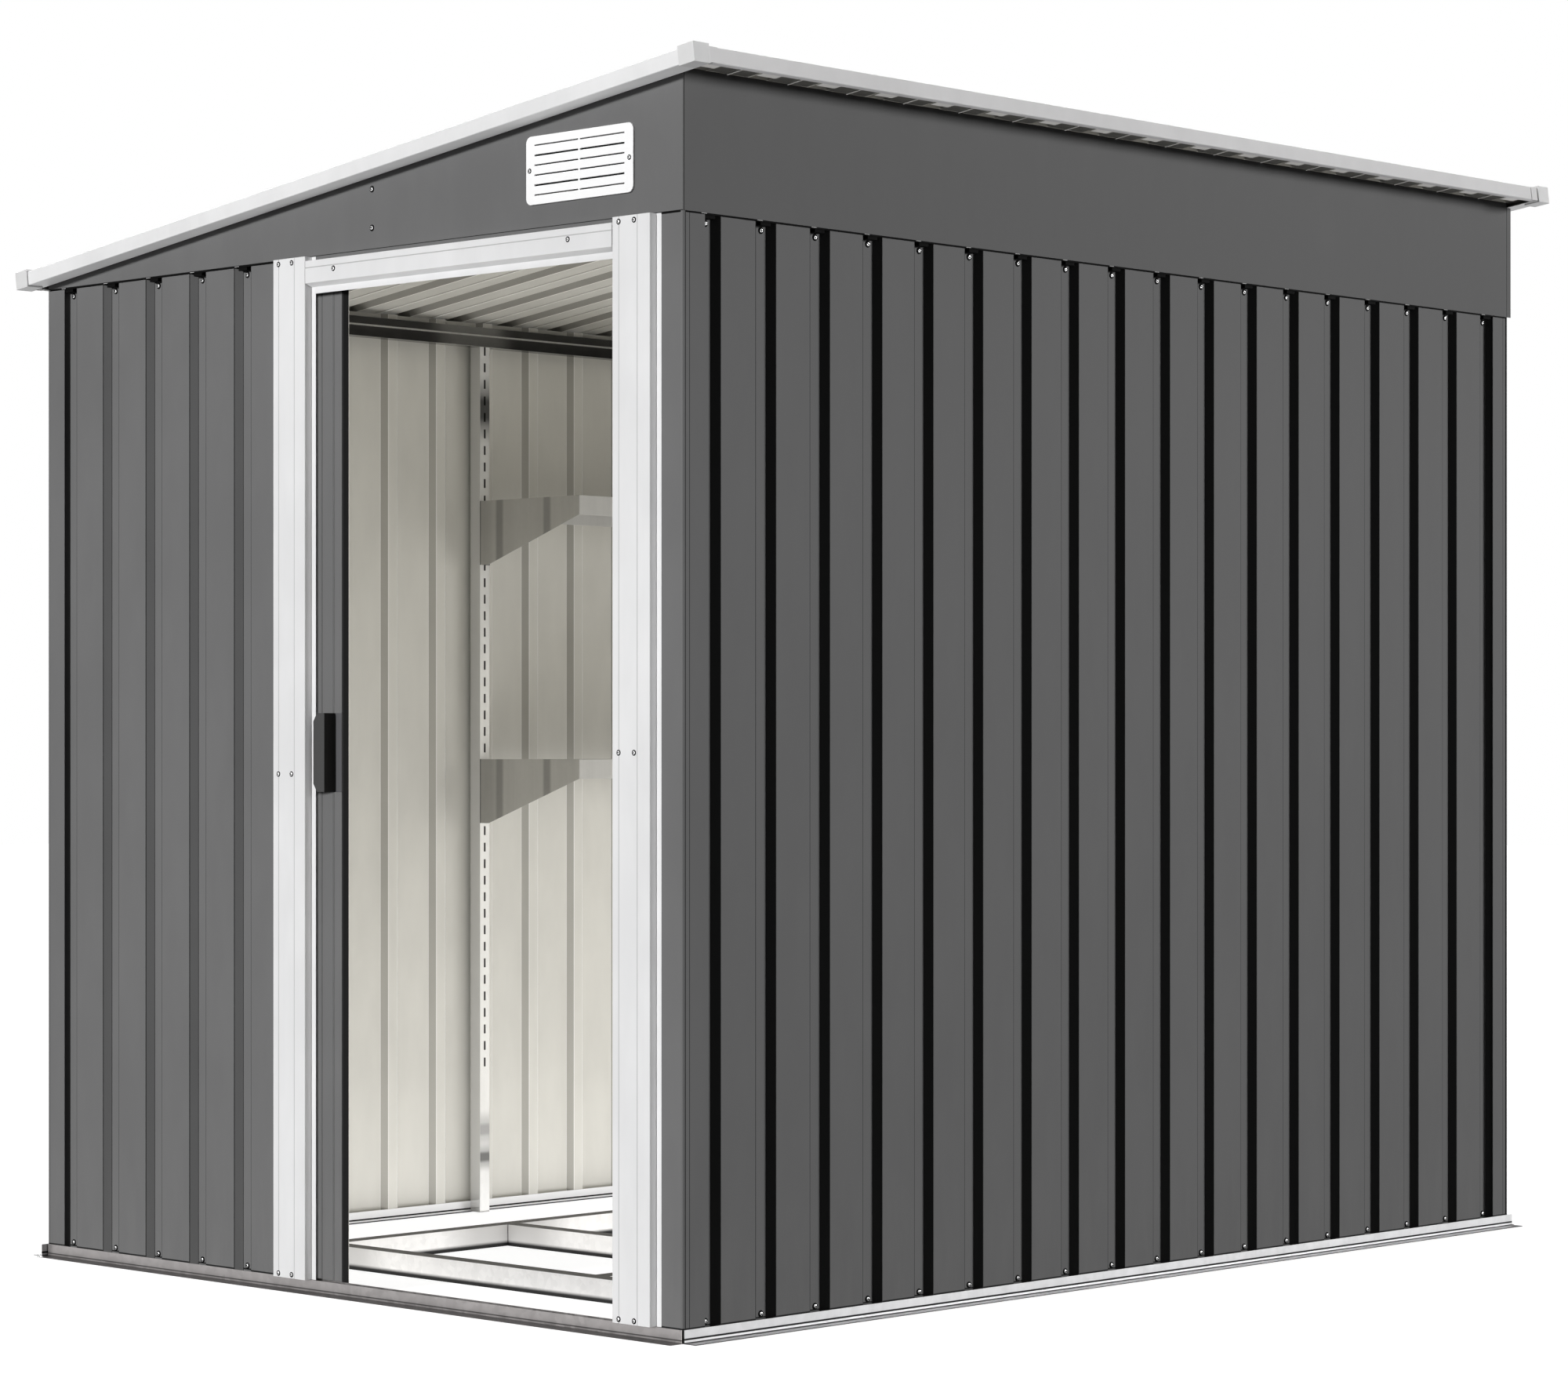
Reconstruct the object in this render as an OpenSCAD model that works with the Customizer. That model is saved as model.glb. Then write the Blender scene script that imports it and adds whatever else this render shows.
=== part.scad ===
// Metal storage shed with a single-slope roof, a sliding door and a galvanised floor frame.
// X runs from the low side to the high side, the door faces -Y, Z is up from the ground.

/* [Overall] */
// Width between the outer faces of the low and the high wall
shed_w = 1745; // [1450:5:2200]
// Length between the outer faces of the front and the back wall
shed_l = 2385; // [1980:5:2900]
// Height of the lower edge of the gables and the fascia
wall_h = 1870; // [1700:5:2300]
// Height of the gable panels at the low wall
gable_low = 18; // [14:1:60]
// Height of the gable panels at the high wall
gable_high = 236; // [150:1:320]
// Height by which the walls run up behind the gables and the fascia
wall_lap = 10; // [4:1:14]

/* [Pressed sheet] */
// Thickness of the wall, roof and trim sheet
sheet = 1; // [0.8:0.1:1.5]
// Spacing of the pressed grooves in the walls
groove_pitch = 132.5; // [110:0.5:160]
// Width of a groove at its mouth
groove_mouth = 48.5; // [36:0.5:54]
// Width of a groove at its bottom
groove_floor = 24.5; // [14:0.5:30]
// Depth of a groove
groove_depth = 12; // [8:0.5:12]
// Distance from a corner to the middle of the first groove
groove_first = 63.3; // [58:0.1:80]

/* [Base rails] */
// Height of the outer upstand
rail_h = 23; // [20:1:40]
// Width of the outward lip on the ground
rail_lip = 26; // [12:1:32]
// Height of the inner upstand that the walls are screwed to
rail_inner_h = 24; // [16:1:60]
// Length by which a side rail runs past the wall at its far end
rail_tail = 16; // [5:1:20]

/* [Floor frame] */
// Height of the floor members
floor_h = 43; // [36:1:50]
// Width of the floor members
floor_member_w = 30; // [24:1:50]
// Distance of the first cross member's middle from the front wall
cross_first = 280; // [220:5:320]
// Distance of the last cross member's middle from the back wall
cross_last = 265; // [100:5:320]
// Number of cross members
cross_count = 5; // [3:1:7]
// Distance of each long member's middle from its side wall
long_inset = 505; // [400:5:600]

/* [Corner posts] */
// Width of a corner post's flanges
post_flange = 50; // [46:1:58]
// Radius of the bead at the corner
post_bead = 4; // [3:0.5:5]

/* [Door frame] */
// Distance of the top of the doorway below the top of the wall
door_drop = 67; // [67:1:200]
// Distance between the high wall and the right jamb
jamb_inset = 50; // [48:1:80]
// Width of a jamb over both flanges
jamb_w = 114; // [90:1:130]
// Width of a jamb's and the header's flange
jamb_flange = 12; // [8:1:16]
// Distance by which the jambs and the header stand proud
jamb_proud = 17; // [10:1:24]
// Distances of a jamb's two creases from the edges of its raised face
jamb_creases = [16.5, 29.5];
// Height of the header's raised face
header_face = 40; // [30:1:44]
// Height of the slanted strip below the header's raised face
header_slant = 6; // [4:1:8]
// Distance of the header's crease below its top
header_crease = 12.5; // [8:0.5:20]

/* [Sliding door] */
// Gap between the open leaf and the low corner
leaf_corner_gap = 43; // [20:1:300]
// Width of the leaf over the width of the doorway
leaf_overlap = 35; // [25:1:49]
// Thickness of the door leaf
leaf_t = 16; // [15:1:20]
// Width of the leaf's edge that shows in the doorway when the door is open
leaf_peek = 51; // [40:1:60]
// Height of the leaf's lower edge above the ground
leaf_bottom = 12; // [8:1:18]
// Overlap of the leaf above the top of the doorway
leaf_lap = 15; // [10:1:16]
// Gap between the pressed wall and the leaf
leaf_gap = 6.5; // [5:0.5:12]
// Distances of the two creases from each edge of the leaf
leaf_creases = [25.5, 58.4];
// Width of the lip behind each edge of the leaf
leaf_lip = 14; // [8:1:18]
// Length of the pull handle
handle_h = 142; // [100:1:200]
// Height of the handle's middle above the ground
handle_z = 975; // [800:5:1200]
// Distance by which the handle stands off the leaf
handle_stand = 27.5; // [24:0.5:27.5]
// Width of the handle's foot
handle_foot = 20; // [14:1:22]
// Width of the handle's grip
handle_grip = 31; // [24:1:31]
// Thickness of the handle
handle_t = 2; // [1.5:0.1:3]
// Width and height cut off the corners of the grip
handle_cut = [10, 15];
// Height of the track above the doorway
track_h = 42; // [36:1:44]
// Distance of the track's top above the top of the doorway's wall
track_rise = 5; // [2:1:8]
// Distance of the track's inner side behind the leaf
track_room = 9.5; // [6:0.5:14]
// Radius of the hanger wheels
wheel_r = 8; // [6:0.5:9]
// Distance of each hanger from its edge of the leaf
hanger_inset = 100; // [60:5:200]
// Width of a hanger
hanger_w = 40; // [30:1:60]

/* [Gables] */
// Distance of a gable's strut from the low wall
strut_u = 960; // [700:5:1200]
// Width of a gable's strut
strut_w = 30; // [20:1:40]
// Length by which the fascia runs past the back wall
fascia_tail = 14; // [4:1:18]

/* [Vents] */
// Width of a vent plate
vent_w = 263; // [200:1:300]
// Height of a vent plate
vent_h = 117; // [90:1:125]
// Distance of a vent plate from the high wall
vent_inset = 113.5; // [100:0.5:160]
// Height of a vent plate's lower edge above the gable's lower edge
vent_rise = 40; // [20:1:50]
// Corner radius of a vent plate
vent_r = 12; // [6:1:20]
// Thickness of a vent plate
vent_t = 4; // [3:0.5:5]
// Number of rows of slots in a vent
vent_slots = 6; // [4:1:6]
// Height of a slot
vent_slot_h = 3; // [2:0.5:5]
// Distances of the slots from the plate's side edges and from its top and bottom
vent_margins = [21, 16];
// Width of the bar between the two columns of slots
vent_bar = 4; // [3:0.5:8]

/* [Shelves] */
// Distance between the back shelf upright and the back wall
upright_gap = 93; // [60:1:300]
// Distance between the two shelf uprights
upright_step = 1186; // [900:1:1230]
// Width of a shelf upright
upright_w = 27; // [20:1:32]
// Depth of a shelf upright
upright_d = 30; // [20:1:36]
// Spacing of the slots in a shelf upright
slot_pitch = 35; // [30:1:45]
// Height of the lowest slot
slot_low = 310; // [200:5:400]
// Width and height of a slot
slot_size = [3.5, 17.5];
// Depth of a shelf
shelf_d = 305; // [240:1:360]
// Height of a bracket at the upright
bracket_root = 135; // [100:1:160]
// Height of a bracket's tip and of the shelf's lip
bracket_tip = 40; // [30:1:50]
// Heights of the two shelves
shelf_z = [960, 1506];

/* [Roof] */
// Overhang of the corner caps past the low wall, along the slope
low_eave = 44.7; // [40:0.1:80]
// Overhang of the corner caps past the high wall, along the slope
high_eave = 73; // [50:1:90]
// Overhang of the corner caps past the front and back wall
gable_eave = 47; // [40:1:70]
// Spacing of the ribs in the roof
roof_pitch = 142; // [120:1:170]
// Height of a roof trim's face
trim_h = 27; // [24:1:34]
// Distance of the trims' lower edge below the roof's underside
trim_drop = 10; // [6:1:10]
// Width of the trims' flange over the roof
trim_over = 22; // [16:1:26]
// Width of the side trims' flange under the roof
trim_under = 12; // [8:1:16]
// Gap between the end trims' flange under the roof and the wall's plane
trim_gap = 3; // [3:0.5:8]
// Width and length of a corner cap
cap_w = 37; // [30:1:39]
// Distance by which a corner cap stands proud of the trims
cap_proud = 3; // [2:0.5:4]

/* [Hidden] */
// Running gap between pieces that are screwed together.
fit = 0.3;
crease_w = 2.4;
crease_d = 0.6;
track_slot = 11;
track_sheet = 1.5;
beam_d = 30;
beam_step = 24;
beam_setback = 12;
hanger_foot_t = 2;
hanger_above_axle = 4;
roof_panels = 4;
pitch_deg = atan((gable_high - gable_low) / shed_w);
slope_w = shed_w / cos(pitch_deg);

// Heights off the roof's underside: trims, then caps.
trim_top_z = trim_h - trim_drop;
cap_low_z = -trim_drop - cap_proud;
cap_high_z = trim_top_z + cap_proud + sheet;
low_reach = low_eave * cos(pitch_deg) + cap_high_z * sin(pitch_deg);
high_reach = high_eave * cos(pitch_deg) - cap_low_z * sin(pitch_deg);
x_low = -(shed_w + low_reach + high_reach) / 2 + low_reach;
x_high = x_low + shed_w;
y_front = -shed_l / 2;
y_back = shed_l / 2;

// Depths behind the outer face of a wall, positive inward.
cover_in = -fit;
cover_out = cover_in - sheet;
upstand_in = -2 * sheet - fit;
upstand_out = upstand_in - sheet;
ridge_in = groove_depth + sheet;
inner_out = ridge_in + fit;
inner_in = inner_out + sheet;
frame_out = inner_in + fit;
wall_z = sheet + fit;
post_z = rail_h + fit;
wall_top = wall_h + wall_lap;

// Doorway and door, measured along the front wall from the low corner.
// The doorway is as wide as lets the open leaf stop short of the low corner.
door_u1 = shed_w - jamb_inset - jamb_w;
door_w = (door_u1 + leaf_peek - leaf_overlap - leaf_corner_gap) / 2;
door_u0 = door_u1 - door_w;
door_top = wall_h - door_drop;
leaf_w = door_w + leaf_overlap;
leaf_u1 = door_u0 + leaf_peek;
leaf_u0 = leaf_u1 - leaf_w;
leaf_d0 = ridge_in + leaf_gap;
leaf_d1 = leaf_d0 + leaf_t;
leaf_top = door_top + leaf_lap;
header_top = door_top + jamb_flange + header_slant + header_face;

// Track and top beams behind the wall tops.
track_z0 = wall_h + track_rise - track_h;
track_z1 = track_z0 + track_h;
track_d1 = leaf_d1 + track_room;
beam_d1 = inner_out + beam_d;

// Local frames of the walls: X along the wall, Y inward from its outer face, Z up.
module on_front() {
    translate([x_low, y_front, 0]) children();
}

module on_right() {
    translate([x_high, y_front, 0]) rotate([0, 0, 90]) children();
}

module on_back() {
    translate([x_high, y_back, 0]) rotate([0, 0, 180]) children();
}

module on_left() {
    translate([x_low, y_back, 0]) rotate([0, 0, 270]) children();
}

// The roof's frame: X up the slope from the low wall, Z off the roof's underside.
module on_roof() {
    translate([x_low, 0, wall_h + gable_low]) rotate([0, -pitch_deg, 0]) children();
}

// Extrudes a (Y, Z) outline along X from a to b.
module along(a, b) {
    translate([a, 0, 0]) rotate([90, 0, 90]) linear_extrude(b - a) children();
}

function reversed(list) = [for (i = [len(list) - 1:-1:0]) list[i]];

// Middles of the grooves on a wall, each mouth clear of the end by half a mouth.
function groove_middles(length) =
    [for (u = groove_first; u < length - groove_mouth; u = u + groove_pitch) u];

// Edge of a pressed sheet over its grooves, at an offset from the outer face.
function pressed_edge(middles, off) = [for (u = middles) each [
    [u - groove_mouth / 2, off],
    [u - groove_floor / 2, off + groove_depth],
    [u + groove_floor / 2, off + groove_depth],
    [u + groove_mouth / 2, off]]];

// Section of pressed sheet from a to b: flats on the outer face, grooves pressed inward.
module pressed_sheet(a, b, middles) {
    polygon(concat([[a, 0]], pressed_edge(middles, 0), [[b, 0], [b, sheet]],
        reversed(pressed_edge(middles, sheet)), [[a, sheet]]));
}

module pressed_wall(a, b, middles, top) {
    translate([0, 0, wall_z]) linear_extrude(top - wall_z) pressed_sheet(a, b, middles);
}

// Section of a base rail: lip, outer upstand, web under the wall, inner upstand.
module rail_section() {
    polygon([[upstand_out - rail_lip, 0], [inner_in, 0], [inner_in, rail_inner_h],
        [inner_out, rail_inner_h], [inner_out, sheet], [upstand_in, sheet], [upstand_in, rail_h],
        [upstand_out, rail_h], [upstand_out, sheet], [upstand_out - rail_lip, sheet]]);
}

// An end rail's inner upstand stops short of the side walls.
module end_rail() {
    difference() {
        along(0, shed_w) rail_section();
        for (u = [-wall_z, shed_w - wall_z])
            translate([u, inner_out - fit, sheet]) cube([2 * wall_z, sheet + 2 * fit, rail_inner_h]);
    }
}

module base_rail_front() {
    // The inner upstand is cut down to the outer one in the doorway.
    color("rosybrown") on_front() difference() {
        end_rail();
        translate([door_u0, inner_out - fit, rail_h]) cube([door_w, sheet + 2 * fit, rail_inner_h]);
    }
}

module base_rail_back() {
    color("rosybrown") on_back() end_rail();
}

// A side rail's web stops at the end rails, and its upstand runs past the far wall.
module side_rail() {
    room = inner_in + fit;
    difference() {
        along(0, shed_l + rail_tail) rail_section();
        translate([-room, -fit, -room]) cube([2 * room, 2 * room, 2 * rail_inner_h]);
        translate([shed_l - room, -fit, -room]) cube([2 * room + rail_tail, 2 * room, 2 * rail_inner_h]);
    }
}

module base_rail_right() {
    color("gainsboro") on_right() side_rail();
}

module base_rail_left() {
    color("gainsboro") on_left() side_rail();
}

// Inverted channel of the floor frame, lying along X.
module floor_channel(a, b) {
    along(a, b) difference() {
        translate([-floor_member_w / 2, 0]) square([floor_member_w, floor_h]);
        translate([-floor_member_w / 2 + sheet, -sheet]) square([floor_member_w - 2 * sheet, floor_h]);
    }
}

cross_step = (shed_l - cross_first - cross_last) / (cross_count - 1);

function cross_y(i) = y_front + cross_first + i * cross_step;

module floor_cross_members() {
    start = x_low + long_inset + floor_member_w / 2;
    color("gainsboro") for (i = [0:cross_count - 1])
        translate([0, cross_y(i), 0]) floor_channel(start, x_high - frame_out);
}

// One long member is whole, the other is cut to length between the cross members.
module floor_beams() {
    half = floor_member_w / 2;
    back = y_back - frame_out;
    starts = [for (i = [0:cross_count - 1]) cross_y(i) + half];
    ends = concat([for (i = [1:cross_count - 1]) cross_y(i) - half], [back]);
    color("gainsboro") {
        translate([x_low + long_inset, 0, 0]) rotate([0, 0, 90])
            floor_channel(cross_y(0) - half, back);
        for (i = [0:cross_count - 1])
            translate([x_high - long_inset, 0, 0]) rotate([0, 0, 90]) floor_channel(starts[i], ends[i]);
    }
}

// Folded cover on the outside of a corner, with a bead along it.
module corner_post() {
    middle = post_bead - 2 * sheet;
    translate([0, 0, post_z]) linear_extrude(wall_h - fit - post_z) difference() {
        union() {
            translate([-sheet, -sheet]) square([post_flange + sheet, sheet]);
            translate([-sheet, -sheet]) square([sheet, post_flange + sheet]);
            translate([middle, middle]) circle(r = post_bead, $fn = 32);
        }
        square([2 * post_flange, 2 * post_flange]);
    }
}

module corner_post_front_left() {
    color("dimgray") on_front() corner_post();
}

module corner_post_front_right() {
    color("dimgray") on_right() corner_post();
}

module corner_post_back_right() {
    color("dimgray") on_back() corner_post();
}

module corner_post_back_left() {
    color("dimgray") on_left() corner_post();
}

// The front wall stands on both sides of the doorway, behind the jambs.
module front_wall_left() {
    end = door_u0 - fit;
    color("dimgray") on_front() pressed_wall(0, end, groove_middles(end), wall_top);
}

module front_wall_right() {
    color("dimgray") on_front()
        pressed_wall(door_u1 + fit, shed_w, [shed_w - groove_first], wall_top);
}

module back_wall() {
    color("dimgray") on_back() pressed_wall(0, shed_w, groove_middles(shed_w), wall_top);
}

// The side walls fit between the front and the back wall.
module side_wall(top) {
    pressed_wall(wall_z, shed_l - wall_z, groove_middles(shed_l), top);
}

module right_wall() {
    color("dimgray") on_right() side_wall(wall_top);
}

module left_wall() {
    color("dimgray") on_left() side_wall(wall_h + gable_low - sheet);
}

function slope_z(u) = wall_h + gable_low + u * tan(pitch_deg);

vent_u0 = shed_w - vent_inset - vent_w;
vent_z0 = wall_h + vent_rise;

// Gable panel in the plane of X and Z, with the hole behind its vent.
module gable_panel() {
    u0 = cover_out;
    u1 = shed_w - cover_in;
    rotate([90, 0, 0]) linear_extrude(sheet) difference() {
        polygon([[u0, wall_h], [u1, wall_h], [u1, slope_z(u1) - fit], [u0, slope_z(u0) - fit]]);
        translate([vent_u0 + vent_margins[1], vent_z0 + vent_margins[1]])
            square([vent_w - 2 * vent_margins[1], vent_h - 2 * vent_margins[1]]);
    }
}

// The front gable hangs down over the doorway, to the top of the header.
module gable_front() {
    color("dimgray") translate([x_low, y_front + cover_in, 0]) {
        gable_panel();
        translate([door_u0 + fit, -sheet, header_top + fit])
            cube([door_w - 2 * fit, sheet, wall_h + sheet - header_top - fit]);
    }
}

module gable_back() {
    color("dimgray") translate([x_low, y_back - cover_out, 0]) gable_panel();
}

// Flat strut on the inside of each gable, from the wall tops up to the roof.
module gable_struts() {
    u0 = strut_u - strut_w / 2;
    u1 = strut_u + strut_w / 2;
    foot = wall_top + fit;
    color("silver") for (side = [0, 1]) mirror([0, side, 0])
        translate([x_low, y_front + track_sheet, 0]) rotate([90, 0, 0]) linear_extrude(track_sheet)
            polygon([[u0, foot], [u1, foot], [u1, slope_z(u1) - fit], [u0, slope_z(u0) - fit]]);
}

// Flat fascia on the high side, its tail below the back trim.
module fascia_right() {
    color("dimgray") on_right() translate([cover_out, cover_out, wall_h]) {
        cube([shed_l - 2 * cover_out, sheet, gable_high - fit]);
        cube([shed_l - cover_out + fascia_tail, sheet, gable_high - trim_drop - sheet]);
    }
}

// Moulded plate with two columns of slots, in the plane of X and Z, its back at Y = 0.
module vent_plate() {
    row = (vent_h - 2 * vent_margins[1]) / (vent_slots - 1);
    slot_l = (vent_w - vent_bar) / 2 - vent_margins[0];
    rotate([90, 0, 0]) linear_extrude(vent_t) difference() {
        translate([vent_r, vent_r]) offset(r = vent_r, $fn = 48)
            square([vent_w - 2 * vent_r, vent_h - 2 * vent_r]);
        for (i = [0:vent_slots - 1])
            for (x = [vent_margins[0], vent_w - vent_margins[0] - slot_l])
                translate([x, vent_margins[1] + i * row - vent_slot_h / 2]) square([slot_l, vent_slot_h]);
    }
}

module vent_front() {
    color("white") translate([x_low + vent_u0, y_front + cover_out, vent_z0]) vent_plate();
}

module vent_back() {
    color("white") translate([x_low + vent_u0, y_back - cover_out + vent_t, vent_z0]) vent_plate();
}

// Section of a jamb: a flange at each side of a raised face with two pressed creases.
module jamb_section(a, b) {
    in0 = a + jamb_flange;
    in1 = b - jamb_flange;
    out = -jamb_proud;
    c0 = in0 + jamb_creases[0];
    c1 = in1 - jamb_creases[1];
    polygon([[a, -sheet], [in0, -sheet], [in0, out],
        [c0 - crease_w / 2, out], [c0, out + crease_d], [c0 + crease_w / 2, out],
        [c1 - crease_w / 2, out], [c1, out + crease_d], [c1 + crease_w / 2, out],
        [in1, out], [in1, -sheet], [b, -sheet], [b, 0],
        [in1 - sheet, 0], [in1 - sheet, out + sheet],
        [in0 + sheet, out + sheet], [in0 + sheet, 0], [a, 0]]);
}

module jamb(a) {
    color("whitesmoke") on_front() translate([0, 0, post_z])
        linear_extrude(wall_h - fit - post_z) jamb_section(a, a + jamb_w);
}

module door_jamb_left() {
    jamb(door_u0 - jamb_w);
}

module door_jamb_right() {
    jamb(door_u1);
}

// Header between the raised faces of the jambs, its flange cut to the doorway.
module door_header() {
    z0 = door_top;
    z1 = z0 + jamb_flange;
    z2 = z1 + header_slant;
    z3 = header_top;
    out = -jamb_proud;
    crease_z = z3 - header_crease;
    color("whitesmoke") on_front() {
        difference() {
            along(door_u0 - jamb_flange + fit, door_u1 + jamb_flange - fit)
                polygon([[0, z0], [-sheet, z0], [-sheet, z1], [out, z2],
                    [out, crease_z - crease_w / 2],
                    [out + crease_d, crease_z],
                    [out, crease_z + crease_w / 2],
                    [out, z3], [0, z3], [0, z3 - sheet], [out + sheet, z3 - sheet],
                    [out + sheet, z2 + sheet / 2], [0, z1 + sheet / 2]]);
            for (u = [door_u0 - jamb_flange, door_u1 - fit])
                translate([u, -sheet - fit, z0 - sheet])
                    cube([jamb_flange + fit, 2 * sheet + fit, 2 * header_face]);
        }
    }
}

// Door leaf: a folded pan of pressed sheet with creased edges and inner lips.
module door_leaf() {
    creases = concat(leaf_creases, [for (c = reversed(leaf_creases)) leaf_w - c]);
    room = leaf_w - 2 * max(leaf_creases) - groove_mouth - 2 * crease_w;
    steps = floor(room / groove_pitch);
    grooves = [for (i = [0:steps]) leaf_w / 2 + (i - steps / 2) * groove_pitch];
    height = leaf_top - leaf_bottom;
    color("dimgray") on_front() translate([leaf_u0, leaf_d0, leaf_bottom]) {
        linear_extrude(height) difference() {
            union() {
                pressed_sheet(0, leaf_w, grooves);
                square([sheet, leaf_t]);
                translate([leaf_w - sheet, 0]) square([sheet, leaf_t]);
                translate([0, leaf_t - sheet]) square([leaf_lip, sheet]);
                translate([leaf_w - leaf_lip, leaf_t - sheet]) square([leaf_lip, sheet]);
            }
            for (c = creases) translate([c, 0])
                polygon([[-crease_w / 4, -crease_d], [crease_w / 4, -crease_d],
                    [crease_w / 4, 0], [0, crease_d], [-crease_w / 4, 0]]);
        }
        // Top and bottom edges are closed by folded flanges.
        for (z = [0, height - sheet]) translate([0, 0, z]) cube([leaf_w, leaf_t, sheet]);
    }
}

// Folded pull: foot on the leaf, web out through the doorway, grip over the jamb.
module door_handle() {
    u1 = leaf_u1 - fit;
    u0 = u1 - handle_foot;
    cut = handle_cut;
    face = leaf_d0 - fit;
    color("black") on_front() translate([0, face, handle_z - handle_h / 2]) {
        translate([u0, -handle_t, 0]) cube([handle_foot, handle_t, handle_h]);
        translate([u0, -handle_stand, 0]) cube([handle_t, handle_stand, handle_h]);
        translate([u0 + handle_t, handle_t - handle_stand, 0]) rotate([90, 0, 0]) linear_extrude(handle_t)
            polygon([[0, 0], [-handle_grip + cut[0], 0], [-handle_grip, cut[1]],
                [-handle_grip, handle_h - cut[1]], [-handle_grip + cut[0], handle_h], [0, handle_h]]);
    }
}

wheel_z = track_z0 + track_sheet + fit + wheel_r;

// Two hangers on the leaf's top edge, each a plate with a wheel on both sides.
module door_hangers() {
    foot_z = leaf_top + fit;
    mid = leaf_d0 + leaf_t / 2;
    color("gray") on_front() for (u = [leaf_u0 + hanger_inset, leaf_u1 - hanger_inset]) {
        translate([u - hanger_w / 2, leaf_d0, foot_z]) cube([hanger_w, leaf_t, hanger_foot_t]);
        translate([u - hanger_w / 2, mid - sheet / 2, foot_z])
            cube([hanger_w, sheet, wheel_z + hanger_above_axle - leaf_top]);
        translate([u, leaf_d1, wheel_z]) rotate([90, 0, 0]) cylinder(r = wheel_r, h = leaf_t, $fn = 48);
    }
}

// Track over the door: a channel, open below, with a lip on each side of its slot.
module door_track() {
    d0 = inner_out;
    mid = leaf_d0 + leaf_t / 2;
    t = track_sheet;
    color("darkgray") on_front() along(inner_out, shed_w - inner_out)
        polygon([[d0, track_z0], [mid - track_slot / 2, track_z0],
            [mid - track_slot / 2, track_z0 + t],
            [d0 + t, track_z0 + t], [d0 + t, track_z1 - t], [track_d1 - t, track_z1 - t],
            [track_d1 - t, track_z0 + t], [mid + track_slot / 2, track_z0 + t],
            [mid + track_slot / 2, track_z0], [track_d1, track_z0], [track_d1, track_z1], [d0, track_z1]]);
}

// Section of a folded top beam: a deep lower part and a set-back upper part.
module beam_section(inset) {
    d0 = inner_out + inset;
    d1 = beam_d1 - inset;
    step = beam_d1 - beam_setback - inset;
    polygon([[d0, track_z0 + inset], [d1, track_z0 + inset], [d1, track_z0 + beam_step - inset],
        [step, track_z0 + beam_step - inset], [step, track_z1 - inset], [d0, track_z1 - inset]]);
}

module top_beam(a, b) {
    along(a, b) difference() {
        beam_section(0);
        beam_section(sheet);
    }
}

module top_beam_back() {
    color("darkgray") on_back() top_beam(inner_out, shed_w - inner_out);
}

module top_beam_right() {
    color("darkgray") on_right() top_beam(track_d1 + fit, shed_l - beam_d1 - fit);
}

module eave_beam_left() {
    color("darkgray") on_left() top_beam(beam_d1 + fit, shed_l - track_d1 - fit);
}

upright_first = shed_l - upright_gap - upright_w - upright_step;
upright_d0 = frame_out;
upright_d1 = upright_d0 + upright_d;
upright_z1 = track_z0 - fit;

// Slotted channel standing against the left wall, its Y start given from the front wall.
module shelf_upright(s) {
    t = track_sheet;
    count = floor((upright_z1 - slot_pitch - slot_low) / slot_pitch);
    color("silver") translate([x_low + upright_d0, y_front + s, 0]) {
        translate([0, 0, wall_z]) cube([upright_d - t, t, upright_z1 - wall_z]);
        translate([0, upright_w - t, wall_z]) cube([upright_d - t, t, upright_z1 - wall_z]);
        translate([upright_d - t, 0, 0]) rotate([90, 0, 90]) linear_extrude(t) difference() {
            translate([0, wall_z]) square([upright_w, upright_z1 - wall_z]);
            for (i = [0:count])
                translate([(upright_w - slot_size[0]) / 2, slot_low + i * slot_pitch]) square(slot_size);
        }
    }
}

module shelf_upright_front() {
    shelf_upright(upright_first);
}

module shelf_upright_back() {
    shelf_upright(upright_first + upright_step);
}

// Tapered plate with a foot on the upright's face, at the outer side of the upright.
module shelf_bracket(z, side) {
    s = side == 0 ? upright_first : upright_first + upright_step + upright_w - sheet;
    foot_s = side == 0 ? upright_first : upright_first + upright_step;
    x0 = x_low + upright_d1 + fit;
    translate([x0, y_front + s + sheet, 0]) rotate([90, 0, 0]) linear_extrude(sheet)
        polygon([[0, z - bracket_root], [upright_w, z - bracket_root], [shelf_d, z - bracket_tip],
            [shelf_d, z], [0, z]]);
    translate([x0, y_front + foot_s, z - bracket_root]) cube([sheet, upright_w, bracket_root]);
}

module shelf_brackets() {
    color("silver") for (z = shelf_z) for (side = [0, 1]) shelf_bracket(z, side);
}

// Folded shelf between the brackets, with a lip down its front and its back.
module shelf(z) {
    x0 = x_low + upright_d1 + fit + sheet + fit;
    x1 = x_low + upright_d1 + fit + shelf_d;
    y0 = y_front + upright_first + sheet + fit;
    y1 = y_front + upright_first + upright_step + upright_w - sheet - fit;
    translate([0, y0, 0]) rotate([-90, 0, 0]) linear_extrude(y1 - y0)
        polygon([[x0, -z], [x1, -z], [x1, bracket_tip - z], [x1 - sheet, bracket_tip - z],
            [x1 - sheet, sheet - z], [x0 + sheet, sheet - z],
            [x0 + sheet, bracket_tip - z], [x0, bracket_tip - z]]);
}

module shelf_lower() {
    color("gainsboro") shelf(shelf_z[0]);
}

module shelf_upper() {
    color("gainsboro") shelf(shelf_z[1]);
}

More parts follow.
